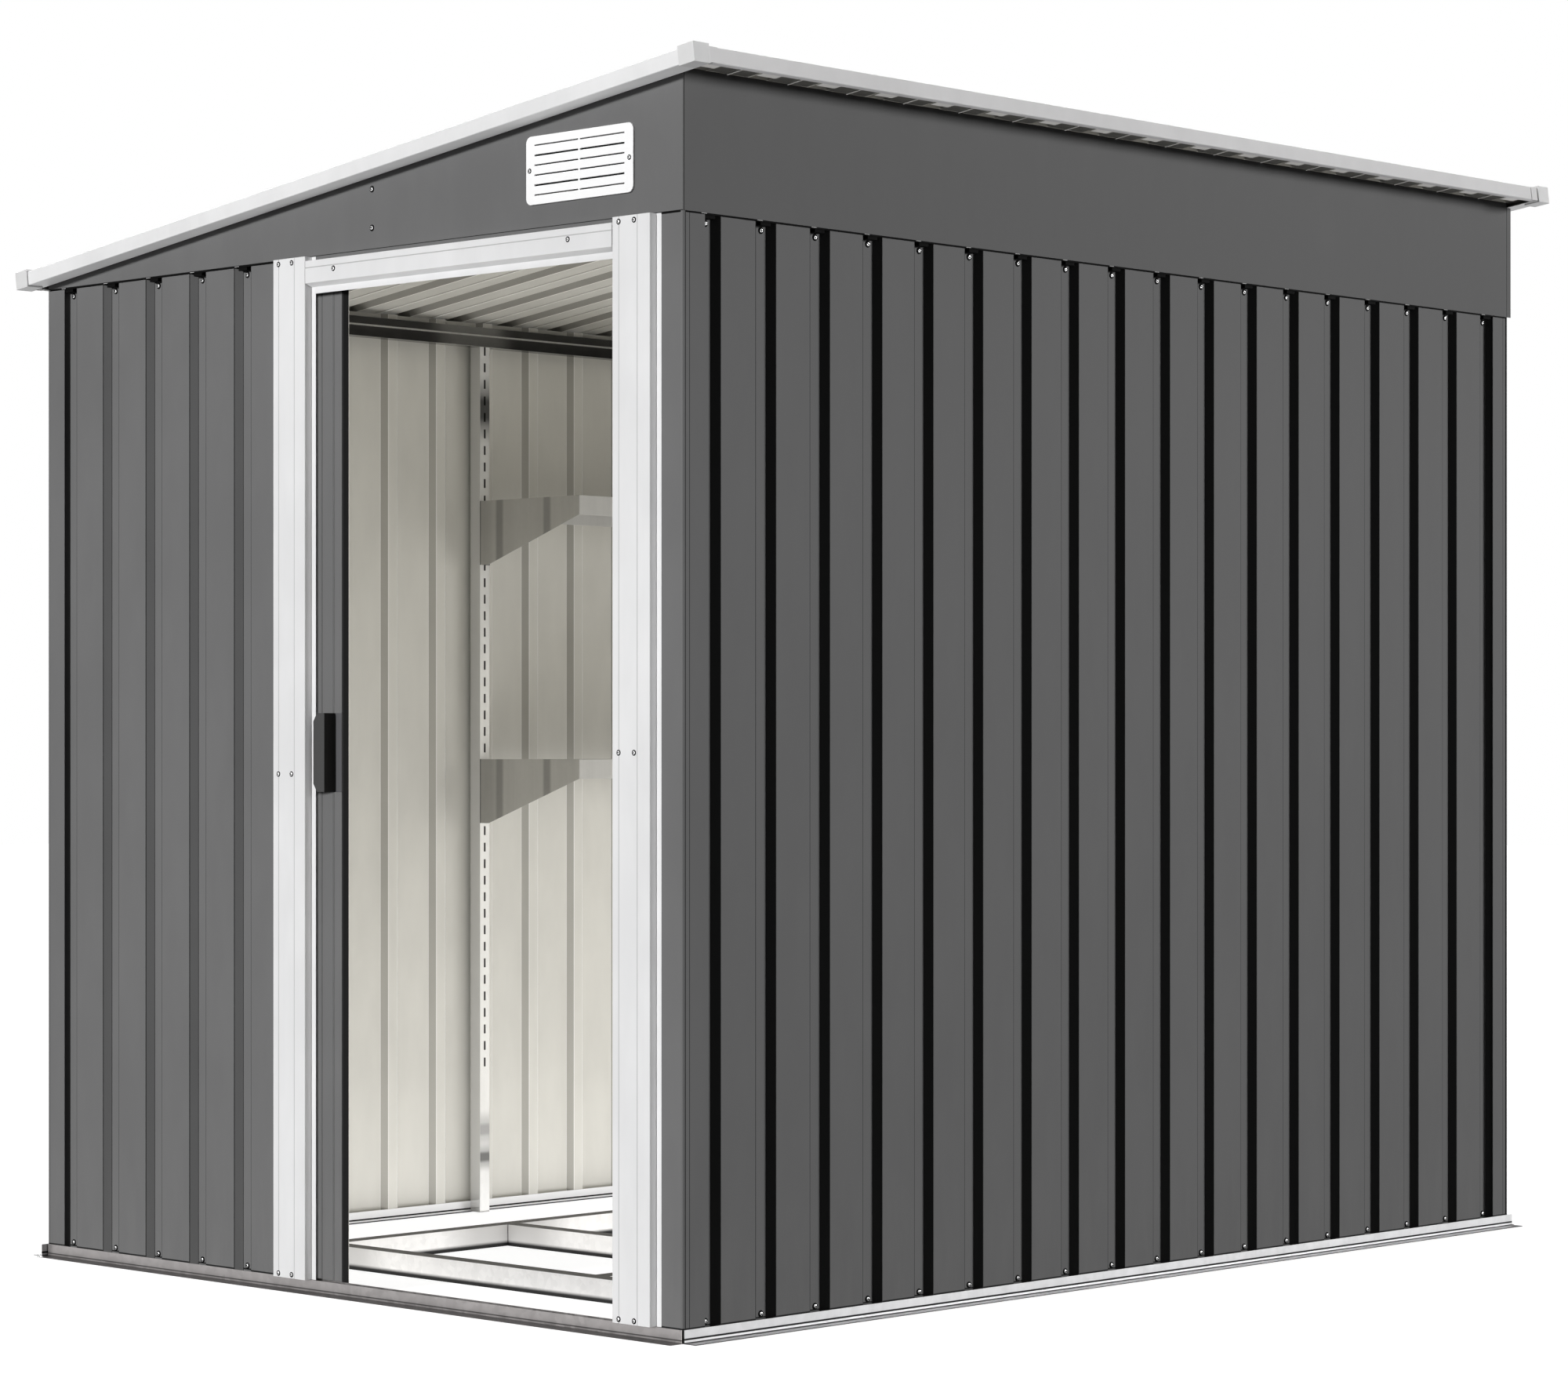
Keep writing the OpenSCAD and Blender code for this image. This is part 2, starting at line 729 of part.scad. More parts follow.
// Roof extents in the roof's frame, inside the trims and out to them.
trim_x0 = -low_eave + cap_proud;
trim_x1 = slope_w + high_eave - cap_proud;
trim_y0 = y_front - gable_eave + cap_proud;
trim_y1 = y_back + gable_eave - cap_proud;
roof_x0 = trim_x0 + sheet + fit;
roof_x1 = trim_x1 - sheet - fit;
roof_y0 = trim_y0 + sheet + fit;
roof_y1 = trim_y1 - sheet - fit;
rib_count = round((roof_y1 - roof_y0) / roof_pitch);
rib_step = (roof_y1 - roof_y0) / rib_count;

// Panel k of the roof: flats on the supports, ribs pressed upward, running down the slope.
module roof_panel(k) {
    first = round(k * rib_count / roof_panels);
    last = round((k + 1) * rib_count / roof_panels);
    color("gray") on_roof() along(roof_x0, roof_x1)
        pressed_sheet(roof_y0 + first * rib_step, roof_y0 + last * rib_step,
            [for (i = [first:last - 1]) roof_y0 + (i + 0.5) * rib_step]);
}

module roof_panel_1() {
    roof_panel(0);
}

module roof_panel_2() {
    roof_panel(1);
}

module roof_panel_3() {
    roof_panel(2);
}

module roof_panel_4() {
    roof_panel(3);
}

// Section of a trim: face at Y = 0, a flange over the roof and one of its own width under it.
module trim_section(under) {
    polygon([[0, -trim_drop], [under, -trim_drop], [under, sheet - trim_drop],
        [sheet, sheet - trim_drop], [sheet, trim_top_z - sheet],
        [trim_over, trim_top_z - sheet], [trim_over, trim_top_z], [0, trim_top_z]]);
}

// The front and back trims run the whole slope.
module end_trim() {
    color("whitesmoke") on_roof() along(trim_x0, trim_x1)
        translate([trim_y0, 0]) trim_section(gable_eave - cap_proud - trim_gap);
}

module roof_trim_front() {
    end_trim();
}

module roof_trim_back() {
    mirror([0, 1, 0]) end_trim();
}

// The left and right trims fit between them, butting on their flanges.
module side_trim(y0, y1) {
    rotate([90, 0, 0]) translate([0, 0, -y1]) linear_extrude(y1 - y0) trim_section(trim_under);
}

module roof_trim_left() {
    color("whitesmoke") on_roof() translate([trim_x0, 0, 0]) side_trim(y_front + fit, y_back - fit);
}

module roof_trim_right() {
    color("whitesmoke") on_roof() translate([trim_x1, 0, 0]) mirror([1, 0, 0])
        side_trim(y_front + fit, y_back - fit);
}

// Moulded corner cap around the ends of the trims, open towards the roof.
module corner_cap() {
    difference() {
        translate([-cap_proud, -cap_proud, cap_low_z]) cube([cap_w, cap_w, cap_high_z - cap_low_z]);
        translate([-fit, -fit, -trim_drop - fit]) cube([cap_w * 2, cap_w * 2, trim_h + 2 * fit]);
    }
}

module roof_corner_caps() {
    color("whitesmoke") on_roof() {
        translate([trim_x0, trim_y0, 0]) corner_cap();
        translate([trim_x0, trim_y1, 0]) mirror([0, 1, 0]) corner_cap();
        translate([trim_x1, trim_y0, 0]) mirror([1, 0, 0]) corner_cap();
        translate([trim_x1, trim_y1, 0]) mirror([1, 0, 0]) mirror([0, 1, 0]) corner_cap();
    }
}

base_rail_front();
base_rail_back();
base_rail_left();
base_rail_right();
floor_beams();
floor_cross_members();
corner_post_front_left();
corner_post_front_right();
corner_post_back_left();
corner_post_back_right();
front_wall_left();
front_wall_right();
right_wall();
left_wall();
back_wall();
gable_front();
gable_back();
gable_struts();
fascia_right();
vent_front();
vent_back();
door_jamb_left();
door_jamb_right();
door_header();
door_leaf();
door_handle();
door_hangers();
door_track();
top_beam_back();
top_beam_right();
eave_beam_left();
shelf_upright_front();
shelf_upright_back();
shelf_brackets();
shelf_lower();
shelf_upper();
roof_panel_1();
roof_panel_2();
roof_panel_3();
roof_panel_4();
roof_trim_front();
roof_trim_back();
roof_trim_left();
roof_trim_right();
roof_corner_caps();
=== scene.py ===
import math

import bmesh
import bpy
from mathutils import Matrix, Vector


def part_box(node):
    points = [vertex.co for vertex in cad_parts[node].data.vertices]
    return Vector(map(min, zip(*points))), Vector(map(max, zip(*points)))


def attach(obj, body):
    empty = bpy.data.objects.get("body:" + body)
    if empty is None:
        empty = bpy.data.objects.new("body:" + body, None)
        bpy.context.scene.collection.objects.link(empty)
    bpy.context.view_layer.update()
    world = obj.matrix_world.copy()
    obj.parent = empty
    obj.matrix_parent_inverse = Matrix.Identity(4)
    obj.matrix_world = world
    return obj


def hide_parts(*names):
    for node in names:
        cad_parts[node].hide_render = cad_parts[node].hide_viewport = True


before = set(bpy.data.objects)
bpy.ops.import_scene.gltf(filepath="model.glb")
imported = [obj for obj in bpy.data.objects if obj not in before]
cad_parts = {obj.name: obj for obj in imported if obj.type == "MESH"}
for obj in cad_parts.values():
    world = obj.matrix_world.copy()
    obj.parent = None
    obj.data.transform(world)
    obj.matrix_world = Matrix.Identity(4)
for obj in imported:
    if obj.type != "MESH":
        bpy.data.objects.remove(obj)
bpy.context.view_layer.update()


# ---------------------------------------------------------------------------
# Wall sheets
# Coil-coated steel sheet, dark grey outside and cream inside, with trapezoid grooves
# pressed inward. Each wall is lapped from several sheets and screwed to the base rail
# and to the top beam through its groove floors.

X, Y, Z = Vector((1, 0, 0)), Vector((0, 1, 0)), Vector((0, 0, 1))
SHEET = 0.001
BEND = 0.0016          # inner radius of a pressed fold
ARC_STEP = math.radians(12)


def axes_across(along):
    """Two directions across `along`, so that side x up = along."""
    side = Y if abs(along.x) > 0.5 else X
    return side, along.cross(side)


def cut_outlines(node, along, place):
    """The closed outlines, in metres across `along`, where a plane cuts a CAD node."""
    side, up = axes_across(along)
    solid = bmesh.new()
    solid.from_mesh(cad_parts[node].data)
    bmesh.ops.remove_doubles(solid, verts=solid.verts, dist=2e-6)
    cut = bmesh.ops.bisect_plane(solid, geom=solid.verts[:] + solid.edges[:] + solid.faces[:],
                                 dist=1e-7, plane_co=along * place, plane_no=along)["geom_cut"]
    beside = {}
    for edge in (e for e in cut if isinstance(e, bmesh.types.BMEdge)):
        a, b = edge.verts
        beside.setdefault(a, []).append(b)
        beside.setdefault(b, []).append(a)
    outlines = []
    while beside:
        start = next(iter(beside))
        loop, point = [start], beside.pop(start)[0]
        while point is not start:
            loop.append(point)
            point = next(p for p in beside.pop(point) if p is not loop[-2])
        outlines.append(tidy_outline([Vector((v.co.dot(side), v.co.dot(up))) for v in loop]))
    solid.free()
    return outlines


def tidy_outline(points):
    """The outline without the points that lie on a straight run, turning counterclockwise."""
    kept = []
    for i, point in enumerate(points):
        before, after = points[i - 1], points[(i + 1) % len(points)]
        if abs((point - before).normalized().cross((after - point).normalized())) > 0.02:
            kept.append(point)
    area = sum(a.cross(b) for a, b in zip(kept, kept[1:] + kept[:1]))
    return kept if area > 0 else kept[::-1]


def rounded(outline, bend):
    """The outline with each fold as an arc.

    Each entry is a point, the normals before and after it, and whether a fold follows it.
    """
    made = []
    for i, corner in enumerate(outline):
        before = corner - outline[i - 1]
        after = outline[(i + 1) % len(outline)] - corner
        turn = -before.angle_signed(after)
        short = min(before.length, after.length)
        d0, d1 = before.normalized(), after.normalized()
        n0, n1 = Vector((d0.y, -d0.x)), Vector((d1.y, -d1.x))
        if short < 1.5 * SHEET or abs(turn) < 0.05:
            made.append((corner, n0, n1, False))
            continue
        radius = bend + SHEET if turn > 0 else bend
        reach = min(radius * math.tan(abs(turn) / 2), 0.45 * short)
        radius = reach / math.tan(abs(turn) / 2)
        start = corner - d0 * reach
        middle = start - n0 * math.copysign(radius, turn)
        steps = max(2, math.ceil(abs(turn) / ARC_STEP))
        for k in range(steps + 1):
            normal = n0.copy()
            normal.rotate(Matrix.Rotation(turn * k / steps, 2))
            made.append((middle + normal * math.copysign(radius, turn), normal, normal, k < steps))
    return made


def shown_mesh(name, mesh, materials, body):
    """Puts a finished mesh into the scene as a piece that rides on a body."""
    piece = bpy.data.objects.new(name, mesh)
    bpy.context.scene.collection.objects.link(piece)
    for material in materials:
        mesh.materials.append(material)
    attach(piece, body)
    return piece


def folded_sheet(node, along, place, ends, materials, side_of=None, bend=BEND, body="shed"):
    """Stands for a folded CAD node: its outline at `place` with round folds, from end to end.

    `materials` holds one paint, or six: outside and inside, those two on the folds, and
    those two on slanted flanks; the fold and flank paints may be darker or lighter copies,
    painted shade and painted highlight. `side_of` picks one of them for each face.
    """
    side, up = axes_across(along)
    points, faces, normals, picks = [], [], [], []
    for outline in cut_outlines(node, along, place):
        run = rounded(outline, bend)
        first, count = len(points), len(run)
        for end in ends:
            points += [side * p.x + up * p.y + along * end for p, _, _, _ in run]
        for i in range(count):
            j = (i + 1) % count
            n0, n1 = (side * n.x + up * n.y for n in (run[i][2], run[j][1]))
            faces.append((first + i, first + j, first + count + j, first + count + i))
            normals += [n0, n1, n1, n0]
            pick = side_of(n0 + n1, points[first + i]) if side_of else 0
            picks.append(pick % 2 + 2 if run[i][3] and len(materials) > 2 else pick)
        faces.append(tuple(first + i for i in reversed(range(count))))
        faces.append(tuple(first + count + i for i in range(count)))
        normals += [-along] * count + [along] * count
        picks += [0, 0]
    mesh = bpy.data.meshes.new(node + "_sheet")
    mesh.from_pydata(points, [], faces)
    mesh.polygons.foreach_set("material_index", picks)
    mesh.shade_smooth()
    mesh.normals_split_custom_set([n.normalized() for n in normals])
    piece = shown_mesh(node + "_sheet", mesh, materials, body)
    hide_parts(node)
    return piece


class Value:
    """A shader socket in a Python expression. The arithmetic adds Math nodes."""

    def __init__(self, nodes, socket):
        self.nodes, self.socket = nodes, socket

    def maths(self, operation, *values):
        return self.nodes.node("ShaderNodeMath", {"operation": operation}, dict(enumerate(values)))

    def __add__(self, other):
        return self.maths("ADD", self, other)

    def __radd__(self, other):
        return self.maths("ADD", other, self)

    def __sub__(self, other):
        return self.maths("SUBTRACT", self, other)

    def __rsub__(self, other):
        return self.maths("SUBTRACT", other, self)

    def __mul__(self, other):
        return self.maths("MULTIPLY", self, other)

    def __rmul__(self, other):
        return self.maths("MULTIPLY", other, self)

    def most(self, other):
        return self.maths("MAXIMUM", self, other)

    def size(self):
        return self.maths("ABSOLUTE", self)

    def fraction(self):
        return self.maths("FRACT", self)

    def between(self, low, high):
        """0 at or below `low`, 1 at or above `high`, smooth between them."""
        return self.nodes.node("ShaderNodeMapRange", {"interpolation_type": "SMOOTHSTEP"},
                               {"Value": self, "From Min": low, "From Max": high})


class Nodes:
    """A node tree, and the one way in which nodes are added to it."""

    def __init__(self, tree):
        self.tree = tree

    def plug(self, socket, value):
        if isinstance(value, Value):
            self.tree.links.new(value.socket, socket)
        else:
            socket.default_value = value

    def node(self, kind, settings, sockets, out=0):
        """Adds a node: its settings first, then its sockets' values or links."""
        made = self.tree.nodes.new(kind)
        for name, value in settings.items():
            setattr(made, name, value)
        for name, value in sockets.items():
            self.plug(made.inputs[name], value)
        return Value(self, made.outputs[out])


class Finish(Nodes):
    """One material: its node tree and the Principled shader that everything feeds."""

    def __init__(self, name, **constants):
        self.material = bpy.data.materials.new(name)
        self.material.use_nodes = True
        super().__init__(self.material.node_tree)
        self.shader = self.tree.nodes["Principled BSDF"]
        for socket, value in constants.items():
            self.shader.inputs[socket.replace("_", " ")].default_value = value

    def place(self, stretch=(1, 1, 1)):
        """The point on the object in metres, with each axis multiplied by `stretch`."""
        point = self.node("ShaderNodeTexCoord", {}, {}, "Object")
        return self.node("ShaderNodeVectorMath", {"operation": "MULTIPLY"}, {0: point, 1: stretch})

    def noise(self, scale, detail=3.0, stretch=(1, 1, 1), rough=0.5):
        return self.node("ShaderNodeTexNoise", {}, {"Vector": self.place(stretch), "Scale": scale,
                                                    "Detail": detail, "Roughness": rough})

    def cells(self, scale):
        """A colour for each cell of a crystal pattern."""
        return self.node("ShaderNodeTexVoronoi", {}, {"Vector": self.place(), "Scale": scale},
                         "Color")

    def along(self, axis):
        """The distance along the axis "X", "Y" or "Z" in metres."""
        return self.node("ShaderNodeSeparateXYZ", {}, {"Vector": self.place()}, axis)

    def painted_lines(self, axis, places, half_width):
        """1 on narrow lines square to an axis, 0 beside them."""
        found = 0.0
        for place in places:
            off = (self.along(axis) - place).size()
            found = (1 - off.between(half_width * 0.5, half_width * 1.3)).most(found)
        return found

    def blend(self, amount, below, above):
        """A colour between `below` and `above`."""
        return self.node("ShaderNodeMix", {"data_type": "RGBA"}, {0: amount, 6: below, 7: above}, 2)

    def bumps(self, height, strength, distance):
        return self.node("ShaderNodeBump", {},
                         {"Height": height, "Strength": strength, "Distance": distance})

    def feed(self, **links):
        for socket, value in links.items():
            self.plug(self.shader.inputs[socket.replace("_", " ")], value)
        return self.material


def grey(level, tint=(1, 1, 1)):
    """An sRGB grey level from 0 to 255, tinted, as a linear colour."""
    c = level / 255
    linear = c / 12.92 if c <= 0.04045 else ((c + 0.055) / 1.055) ** 2.4
    return (linear * tint[0], linear * tint[1], linear * tint[2], 1)


def enamel(name, level, tint=(1, 1, 1), rough=0.5, dust=0.05, gloss=0.03, painted_lines=(), shade_line_tone=0.1):
    """Stoved paint on sheet: faint clouding, a fine orange peel, dust low down, and painted shade
    on narrow lines.
    """
    paint = Finish(name, Specular_IOR_Level=gloss)
    cloud = paint.noise(2.3, 4.0) * 0.6 + paint.noise(19.0, 3.0, (1, 1, 0.35)) * 0.4
    base = paint.blend(cloud.between(0.3, 0.7), grey(level * 0.975, tint), grey(level * 1.02, tint))
    speck = paint.noise(1400.0, 1.0)
    base = paint.blend(speck.between(0.6, 0.8) * 0.10, base, grey(min(255, level * 1.35), tint))
    low = 1 - paint.along("Z").between(0.02, 0.32)
    streaks = paint.noise(30.0, 5.0, (1, 1, 0.15), 0.6)
    dusty = low * streaks.between(0.35, 0.75) * dust
    base = paint.blend(dusty, base, grey(176, (1, 0.97, 0.92)))
    # Painted shade: the paint darkened on narrow lines at creases, folds, laps and edges.
    for axis, places, half_width in painted_lines:
        dark = [channel * shade_line_tone for channel in grey(level, tint)[:3]] + [1]
        base = paint.blend(paint.painted_lines(axis, places, half_width), base, dark)
    shine = rough + (cloud - 0.5) * 0.12 + dusty * 0.8
    peel = paint.noise(900.0, 2.0) * 0.7 + paint.noise(260.0, 2.0) * 0.3
    return paint.feed(Base_Color=base, Roughness=shine, Normal=paint.bumps(peel, 0.10, 0.0004))


COOL = (1, 1, 1.004)   # the faint blue of the grey paint
SHED_GREY = 112
RAIL_H = 0.023
rail_shadow = ("Z", [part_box("base_rail_right")[0].z + RAIL_H + 0.001], 0.0016)
wall_outside = enamel("wall_grey_outside", SHED_GREY, COOL, painted_lines=[rail_shadow])
# Painted shade and highlight: darker copies of the grey on the folds and on the slanted flanks of
# the grooves, a darker copy of the cream on the flanks inside, and a lighter copy of the cream on
# the inner folds.
wall_fold_shade = enamel("wall_grey_fold_shade", 46, COOL)
wall_inside = enamel("wall_cream_inside", 223, (1, 0.979, 0.912), 0.42, 0.0, 0.3)
cream_fold_highlight = enamel("wall_cream_fold_highlight", 247, (1, 0.985, 0.95), 0.4, 0.0, 0.3)
wall_flank_shade = enamel("wall_grey_flank_shade", 64, COOL)
cream_flank_shade = enamel("wall_cream_flank_shade", 193, (1, 0.975, 0.9), 0.42, 0.0, 0.3)
front_flank_shade = enamel("front_grey_flank_shade", 104, COOL)
body_colours = [wall_outside, wall_inside, wall_fold_shade, cream_fold_highlight, wall_flank_shade, cream_flank_shade]
front_colours = body_colours[:4] + [front_flank_shade, cream_flank_shade]


def pressed(outward):
    """Picks paint 0 outside and 1 inside, and 4 or 5, darker copies for painted shade, on the
    slanted flanks of the grooves.
    """
    def pick(normal, point):
        outside = normal.normalized().dot(outward)
        return (0 if outside > -0.05 else 1) + (4 if abs(outside) < 0.9 else 0)
    return pick


def groove_floors(node, outward):
    """The middles of a wall's groove floors on its outer face, in X and Y."""
    low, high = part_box(node)
    outline = cut_outlines(node, Z, (low.z + high.z) / 2)[0]
    across = outward.xy
    deep = min(p.dot(across) for p in outline) + SHEET
    return [(a + b) / 2 for a, b in zip(outline, outline[1:] + outline[:1])
            if abs(a.dot(across) - deep) < 1e-5 and abs(b.dot(across) - deep) < 1e-5]


SIDES = 24   # of a screw head


def pan_head(radius, height):
    """Points and faces of a pan head with a cross recess and a washer, standing along Z."""
    sides, arm, arm_half = SIDES, 0.69 * radius, 0.22 * radius
    turns = [2 * math.pi * k / sides for k in range(sides)]

    def cross(turn):
        c, s = abs(math.cos(turn)) + 1e-9, abs(math.sin(turn)) + 1e-9
        return max(min(arm / c, arm_half / s), min(arm_half / c, arm / s))

    washer_and_head = ((1.6, 0), (1.6, 0.2), (1.02, 0.26), (0.98, 0.5), (0.88, 0.78), (0.76, 0.96))
    rings = [[(radius * r, height * h)] * sides for r, h in washer_and_head]
    rings += [[(cross(t) + radius * 0.05, height) for t in turns],
              [(cross(t), height * 0.96) for t in turns],
              [(cross(t) * 0.8, height * 0.4) for t in turns]]
    points = [(r * math.cos(t), r * math.sin(t), z)
              for ring in rings for (r, z), t in zip(ring, turns)]
    faces = [(i * sides + k, i * sides + (k + 1) % sides,
              (i + 1) * sides + (k + 1) % sides, (i + 1) * sides + k)
             for i in range(len(rings) - 1) for k in range(sides)]
    last = (len(rings) - 1) * sides
    faces += [tuple(reversed(range(sides))), tuple(range(last, last + sides))]
    return points, faces


def screws(name, spots, radius=0.0037, height=0.0026):
    """Pan-head screws on dark washers, as one piece, with the rim and the cross recess of each head
    painted dark as shade. Each spot is a point and a direction.
    """
    points, faces = [], []
    head_points, head_faces = pan_head(radius, height)
    for k, (spot, outward) in enumerate(spots):
        turn = outward.to_track_quat("Z", "Y").to_matrix() @ Matrix.Rotation(0.7 * k, 3, "Z")
        first = len(points)
        points += [spot + turn @ Vector(p) for p in head_points]
        faces += [tuple(first + i for i in face) for face in head_faces]
    mesh = bpy.data.meshes.new(name)
    mesh.from_pydata(points, [], faces)
    each = len(head_faces)
    # The rubber washers are black, and the lower rim and the recess of each head are painted black
    # as shade.
    washer_and_rim_end, recess_start = 3 * SIDES, each - 1 - 2 * SIDES
    dark = [k % each < washer_and_rim_end or k % each >= recess_start for k in range(len(faces))]
    mesh.polygons.foreach_set("material_index", [int(is_dark) for is_dark in dark])
    mesh.polygons.foreach_set("use_smooth", [len(face) == 4 for face in faces])
    mesh.set_sharp_from_angle(angle=math.radians(40))
    shown_mesh(name, mesh, [screw_zinc, rubber_and_shade_black], "shed")


def blocks(name, boxes, ease, material, turn=None):
    """Small blocks and strips, each from its low to its high corner, with eased edges."""
    solid = bmesh.new()
    for low, high in boxes:
        low, high = Vector(low), Vector(high)
        size = Matrix.Diagonal((*(high - low), 1))
        bmesh.ops.create_cube(solid, matrix=Matrix.Translation((low + high) / 2) @ size)
    bmesh.ops.bevel(solid, geom=solid.edges[:], offset=ease, segments=2, profile=0.6,
                    affect="EDGES")
    if turn:
        bmesh.ops.transform(solid, matrix=turn, verts=solid.verts)
    mesh = bpy.data.meshes.new(name)
    solid.to_mesh(mesh)
    solid.free()
    return shown_mesh(name, mesh, [material], "shed")


steel = Finish("screw_zinc", Metallic=0.8)
swirl = steel.noise(900.0, 3.0)
screw_zinc = steel.feed(Base_Color=steel.blend(swirl, grey(228), grey(255)),
                        Roughness=0.2 + swirl * 0.18, Normal=steel.bumps(swirl, 0.15, 0.0002))
# Black rubber for the washers, used too for black pieces that stand only for shade.
black_rubber_and_shade = Finish("rubber_and_shade_black", Specular_IOR_Level=0.04)
wrinkle = black_rubber_and_shade.noise(500.0, 3.0)
rubber_and_shade_black = black_rubber_and_shade.feed(Base_Color=black_rubber_and_shade.blend(wrinkle, grey(6), grey(14)),
                       Roughness=0.7 + wrinkle * 0.2, Normal=black_rubber_and_shade.bumps(wrinkle, 0.2, 0.0003))

SCREW_HEIGHTS = (0.030, 1.8545)
LAP_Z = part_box("gable_back")[0].z   # where the gables and the fascia lap over the walls
# Painted shade: a black block in each groove's top stands for the shade under the lap.
# Painted highlight: a pale block beside it stands for light on the lap's hem. Their low and
# high corners, as distances sideways and out from the middle of the groove floor and up
# from the lap.
GROOVE_SHADE = ((-0.0122, 0.0001, -0.0085), (0.0122, 0.0118, -0.0003))
HEM_HIGHLIGHT = ((0.009, 0.0131, -0.0011), (0.0215, 0.0134, -0.0003))
jamb_boxes = [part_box("door_jamb_left"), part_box("door_jamb_right")]
heads, groove_shade_boxes, hem_highlight_boxes = [], [], []
for node, outward in (("front_wall_left", -Y), ("front_wall_right", -Y), ("right_wall", X),
                      ("left_wall", -X), ("back_wall", Y)):
    low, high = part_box(node)
    folded_sheet(node, Z, (low.z + high.z) / 2, (low.z, high.z),
                 front_colours if outward == -Y else body_colours, pressed(outward))
    sideways = outward.cross(Z)
    for floor_middle in groove_floors(node, outward):
        behind_jamb = any(a.x < floor_middle.x < b.x for a, b in jamb_boxes)
        if outward == -Y and behind_jamb:
            continue
        middle = floor_middle.to_3d()
        heads += [(middle + Z * z, outward) for z in SCREW_HEIGHTS]
        for boxes, corners in ((groove_shade_boxes, GROOVE_SHADE), (hem_highlight_boxes, HEM_HIGHLIGHT)):
            a, b = (middle + (sideways * across + outward * out + Z * (LAP_Z + up))
                    for across, out, up in corners)
            boxes.append(([min(pair) for pair in zip(a, b)], [max(pair) for pair in zip(a, b)]))
screws("wall_screws", heads)
blocks("groove_top_shade", groove_shade_boxes, 0.0004, rubber_and_shade_black)
# A pale grey for the painted highlight on the hem.
hem_highlight_grey = enamel("hem_highlight_grey", 196, rough=0.4, dust=0.0, gloss=0.1)
blocks("hem_highlights", hem_highlight_boxes, 0.00008, hem_highlight_grey)


# ---------------------------------------------------------------------------
# Corner posts, gables and fascia
# Folded covers of the same grey sheet: a beaded post over each corner, a flat gable at
# each end and a flat fascia on the high side, all screwed over the tops of the walls.

def finish_nodes(names, material, ease=0.0004):
    """Gives CAD nodes their finish, and a fine rounding of their edges."""
    for name in names:
        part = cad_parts[name]
        part.data.materials.clear()
        part.data.materials.append(material)
        weld = part.modifiers.new("joined_faces", "WELD")
        weld.merge_threshold = 2e-6
        round_edges = part.modifiers.new("eased_edges", "BEVEL")
        round_edges.width = ease
        round_edges.segments = 2
        round_edges.limit_method = "ANGLE"
        round_edges.angle_limit = math.radians(35)


left_x, right_x = (corner.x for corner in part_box("back_wall"))
front_y, rear_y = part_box("front_wall_left")[0].y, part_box("back_wall")[1].y
header_low, header_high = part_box("door_header")
# Painted shade: dark lines on the posts' beads, on the gables just above the header and along the
# front gable's lower edge, and at the ends of the back gable and the fascia.
POST_BEAD_SHADE = ((0.004, 0.0016), (0.014, 0.0007))   # in from the corner, and half the width of the painted shade line
bead_shade_lines = [("Y", [front_y + place, rear_y - place], half_width)
              for place, half_width in POST_BEAD_SHADE]
header_shade_line = ("Z", [header_high.z + 0.0008], 0.0013)
post_grey = enamel("post_grey", SHED_GREY, COOL, painted_lines=[rail_shadow] + bead_shade_lines)
gable_grey = enamel("gable_grey", 106, COOL,
                    painted_lines=[("Y", [front_y + 0.0006, rear_y - 0.0006], 0.001), header_shade_line])
gable_front_grey = enamel("gable_front_grey", 110, COOL,
                          painted_lines=[header_shade_line, ("Z", [LAP_Z + 0.0005], 0.0007)])
finish_nodes(["corner_post_front_left", "corner_post_front_right", "corner_post_back_left",
              "corner_post_back_right"], post_grey)
finish_nodes(["gable_front"], gable_front_grey)
finish_nodes(["gable_back", "fascia_right"], gable_grey)

# Painted shade: black strips under the lower edges of the gables and the fascia, where a dark line
# of shade falls.
SHADE_STRIP_H = 0.0028
POST_W = 0.05
ON_POST = (0.00102, 0.00125)   # how far out the two sides of a shade strip under the lap lie on the posts
ON_WALL = (0.0001, 0.0011)     # and on the walls between them
doorway_left, doorway_right = jamb_boxes[0][0].x, jamb_boxes[1][1].x


def lap_shade_strip(axis, face, side, outs, ends):
    """A black strip under the lap that stands for the shade there, on a wall whose face lies at
    `face` on the axis "X" or "Y".
    """
    near, far = sorted(face + side * out for out in outs)
    low, high = (near, ends[0]), (far, ends[1])
    if axis == "Y":
        low, high = (ends[0], near), (ends[1], far)
    return (*low, LAP_Z - SHADE_STRIP_H), (*high, LAP_Z - 0.0001)


lap_shade_boxes = [lap_shade_strip("Y", front_y, -1, ON_POST, (left_x, doorway_left)),
         lap_shade_strip("Y", front_y, -1, ON_POST, (doorway_right, right_x)),
         lap_shade_strip("Y", rear_y, 1, ON_POST, (left_x, right_x)),
         lap_shade_strip("X", left_x, -1, ON_POST, (front_y, rear_y)),
         lap_shade_strip("X", right_x, 1, ON_POST, (front_y, rear_y)),
         lap_shade_strip("Y", front_y, -1, ON_WALL, (left_x + POST_W, doorway_left)),
         lap_shade_strip("Y", front_y, -1, ON_WALL, (doorway_right, right_x - POST_W)),
         lap_shade_strip("Y", rear_y, 1, ON_WALL, (left_x + POST_W, right_x - POST_W)),
         lap_shade_strip("X", right_x, 1, ON_WALL, (front_y + POST_W, rear_y - POST_W))]
blocks("lap_shade_lines", lap_shade_boxes, 0.00005, rubber_and_shade_black)

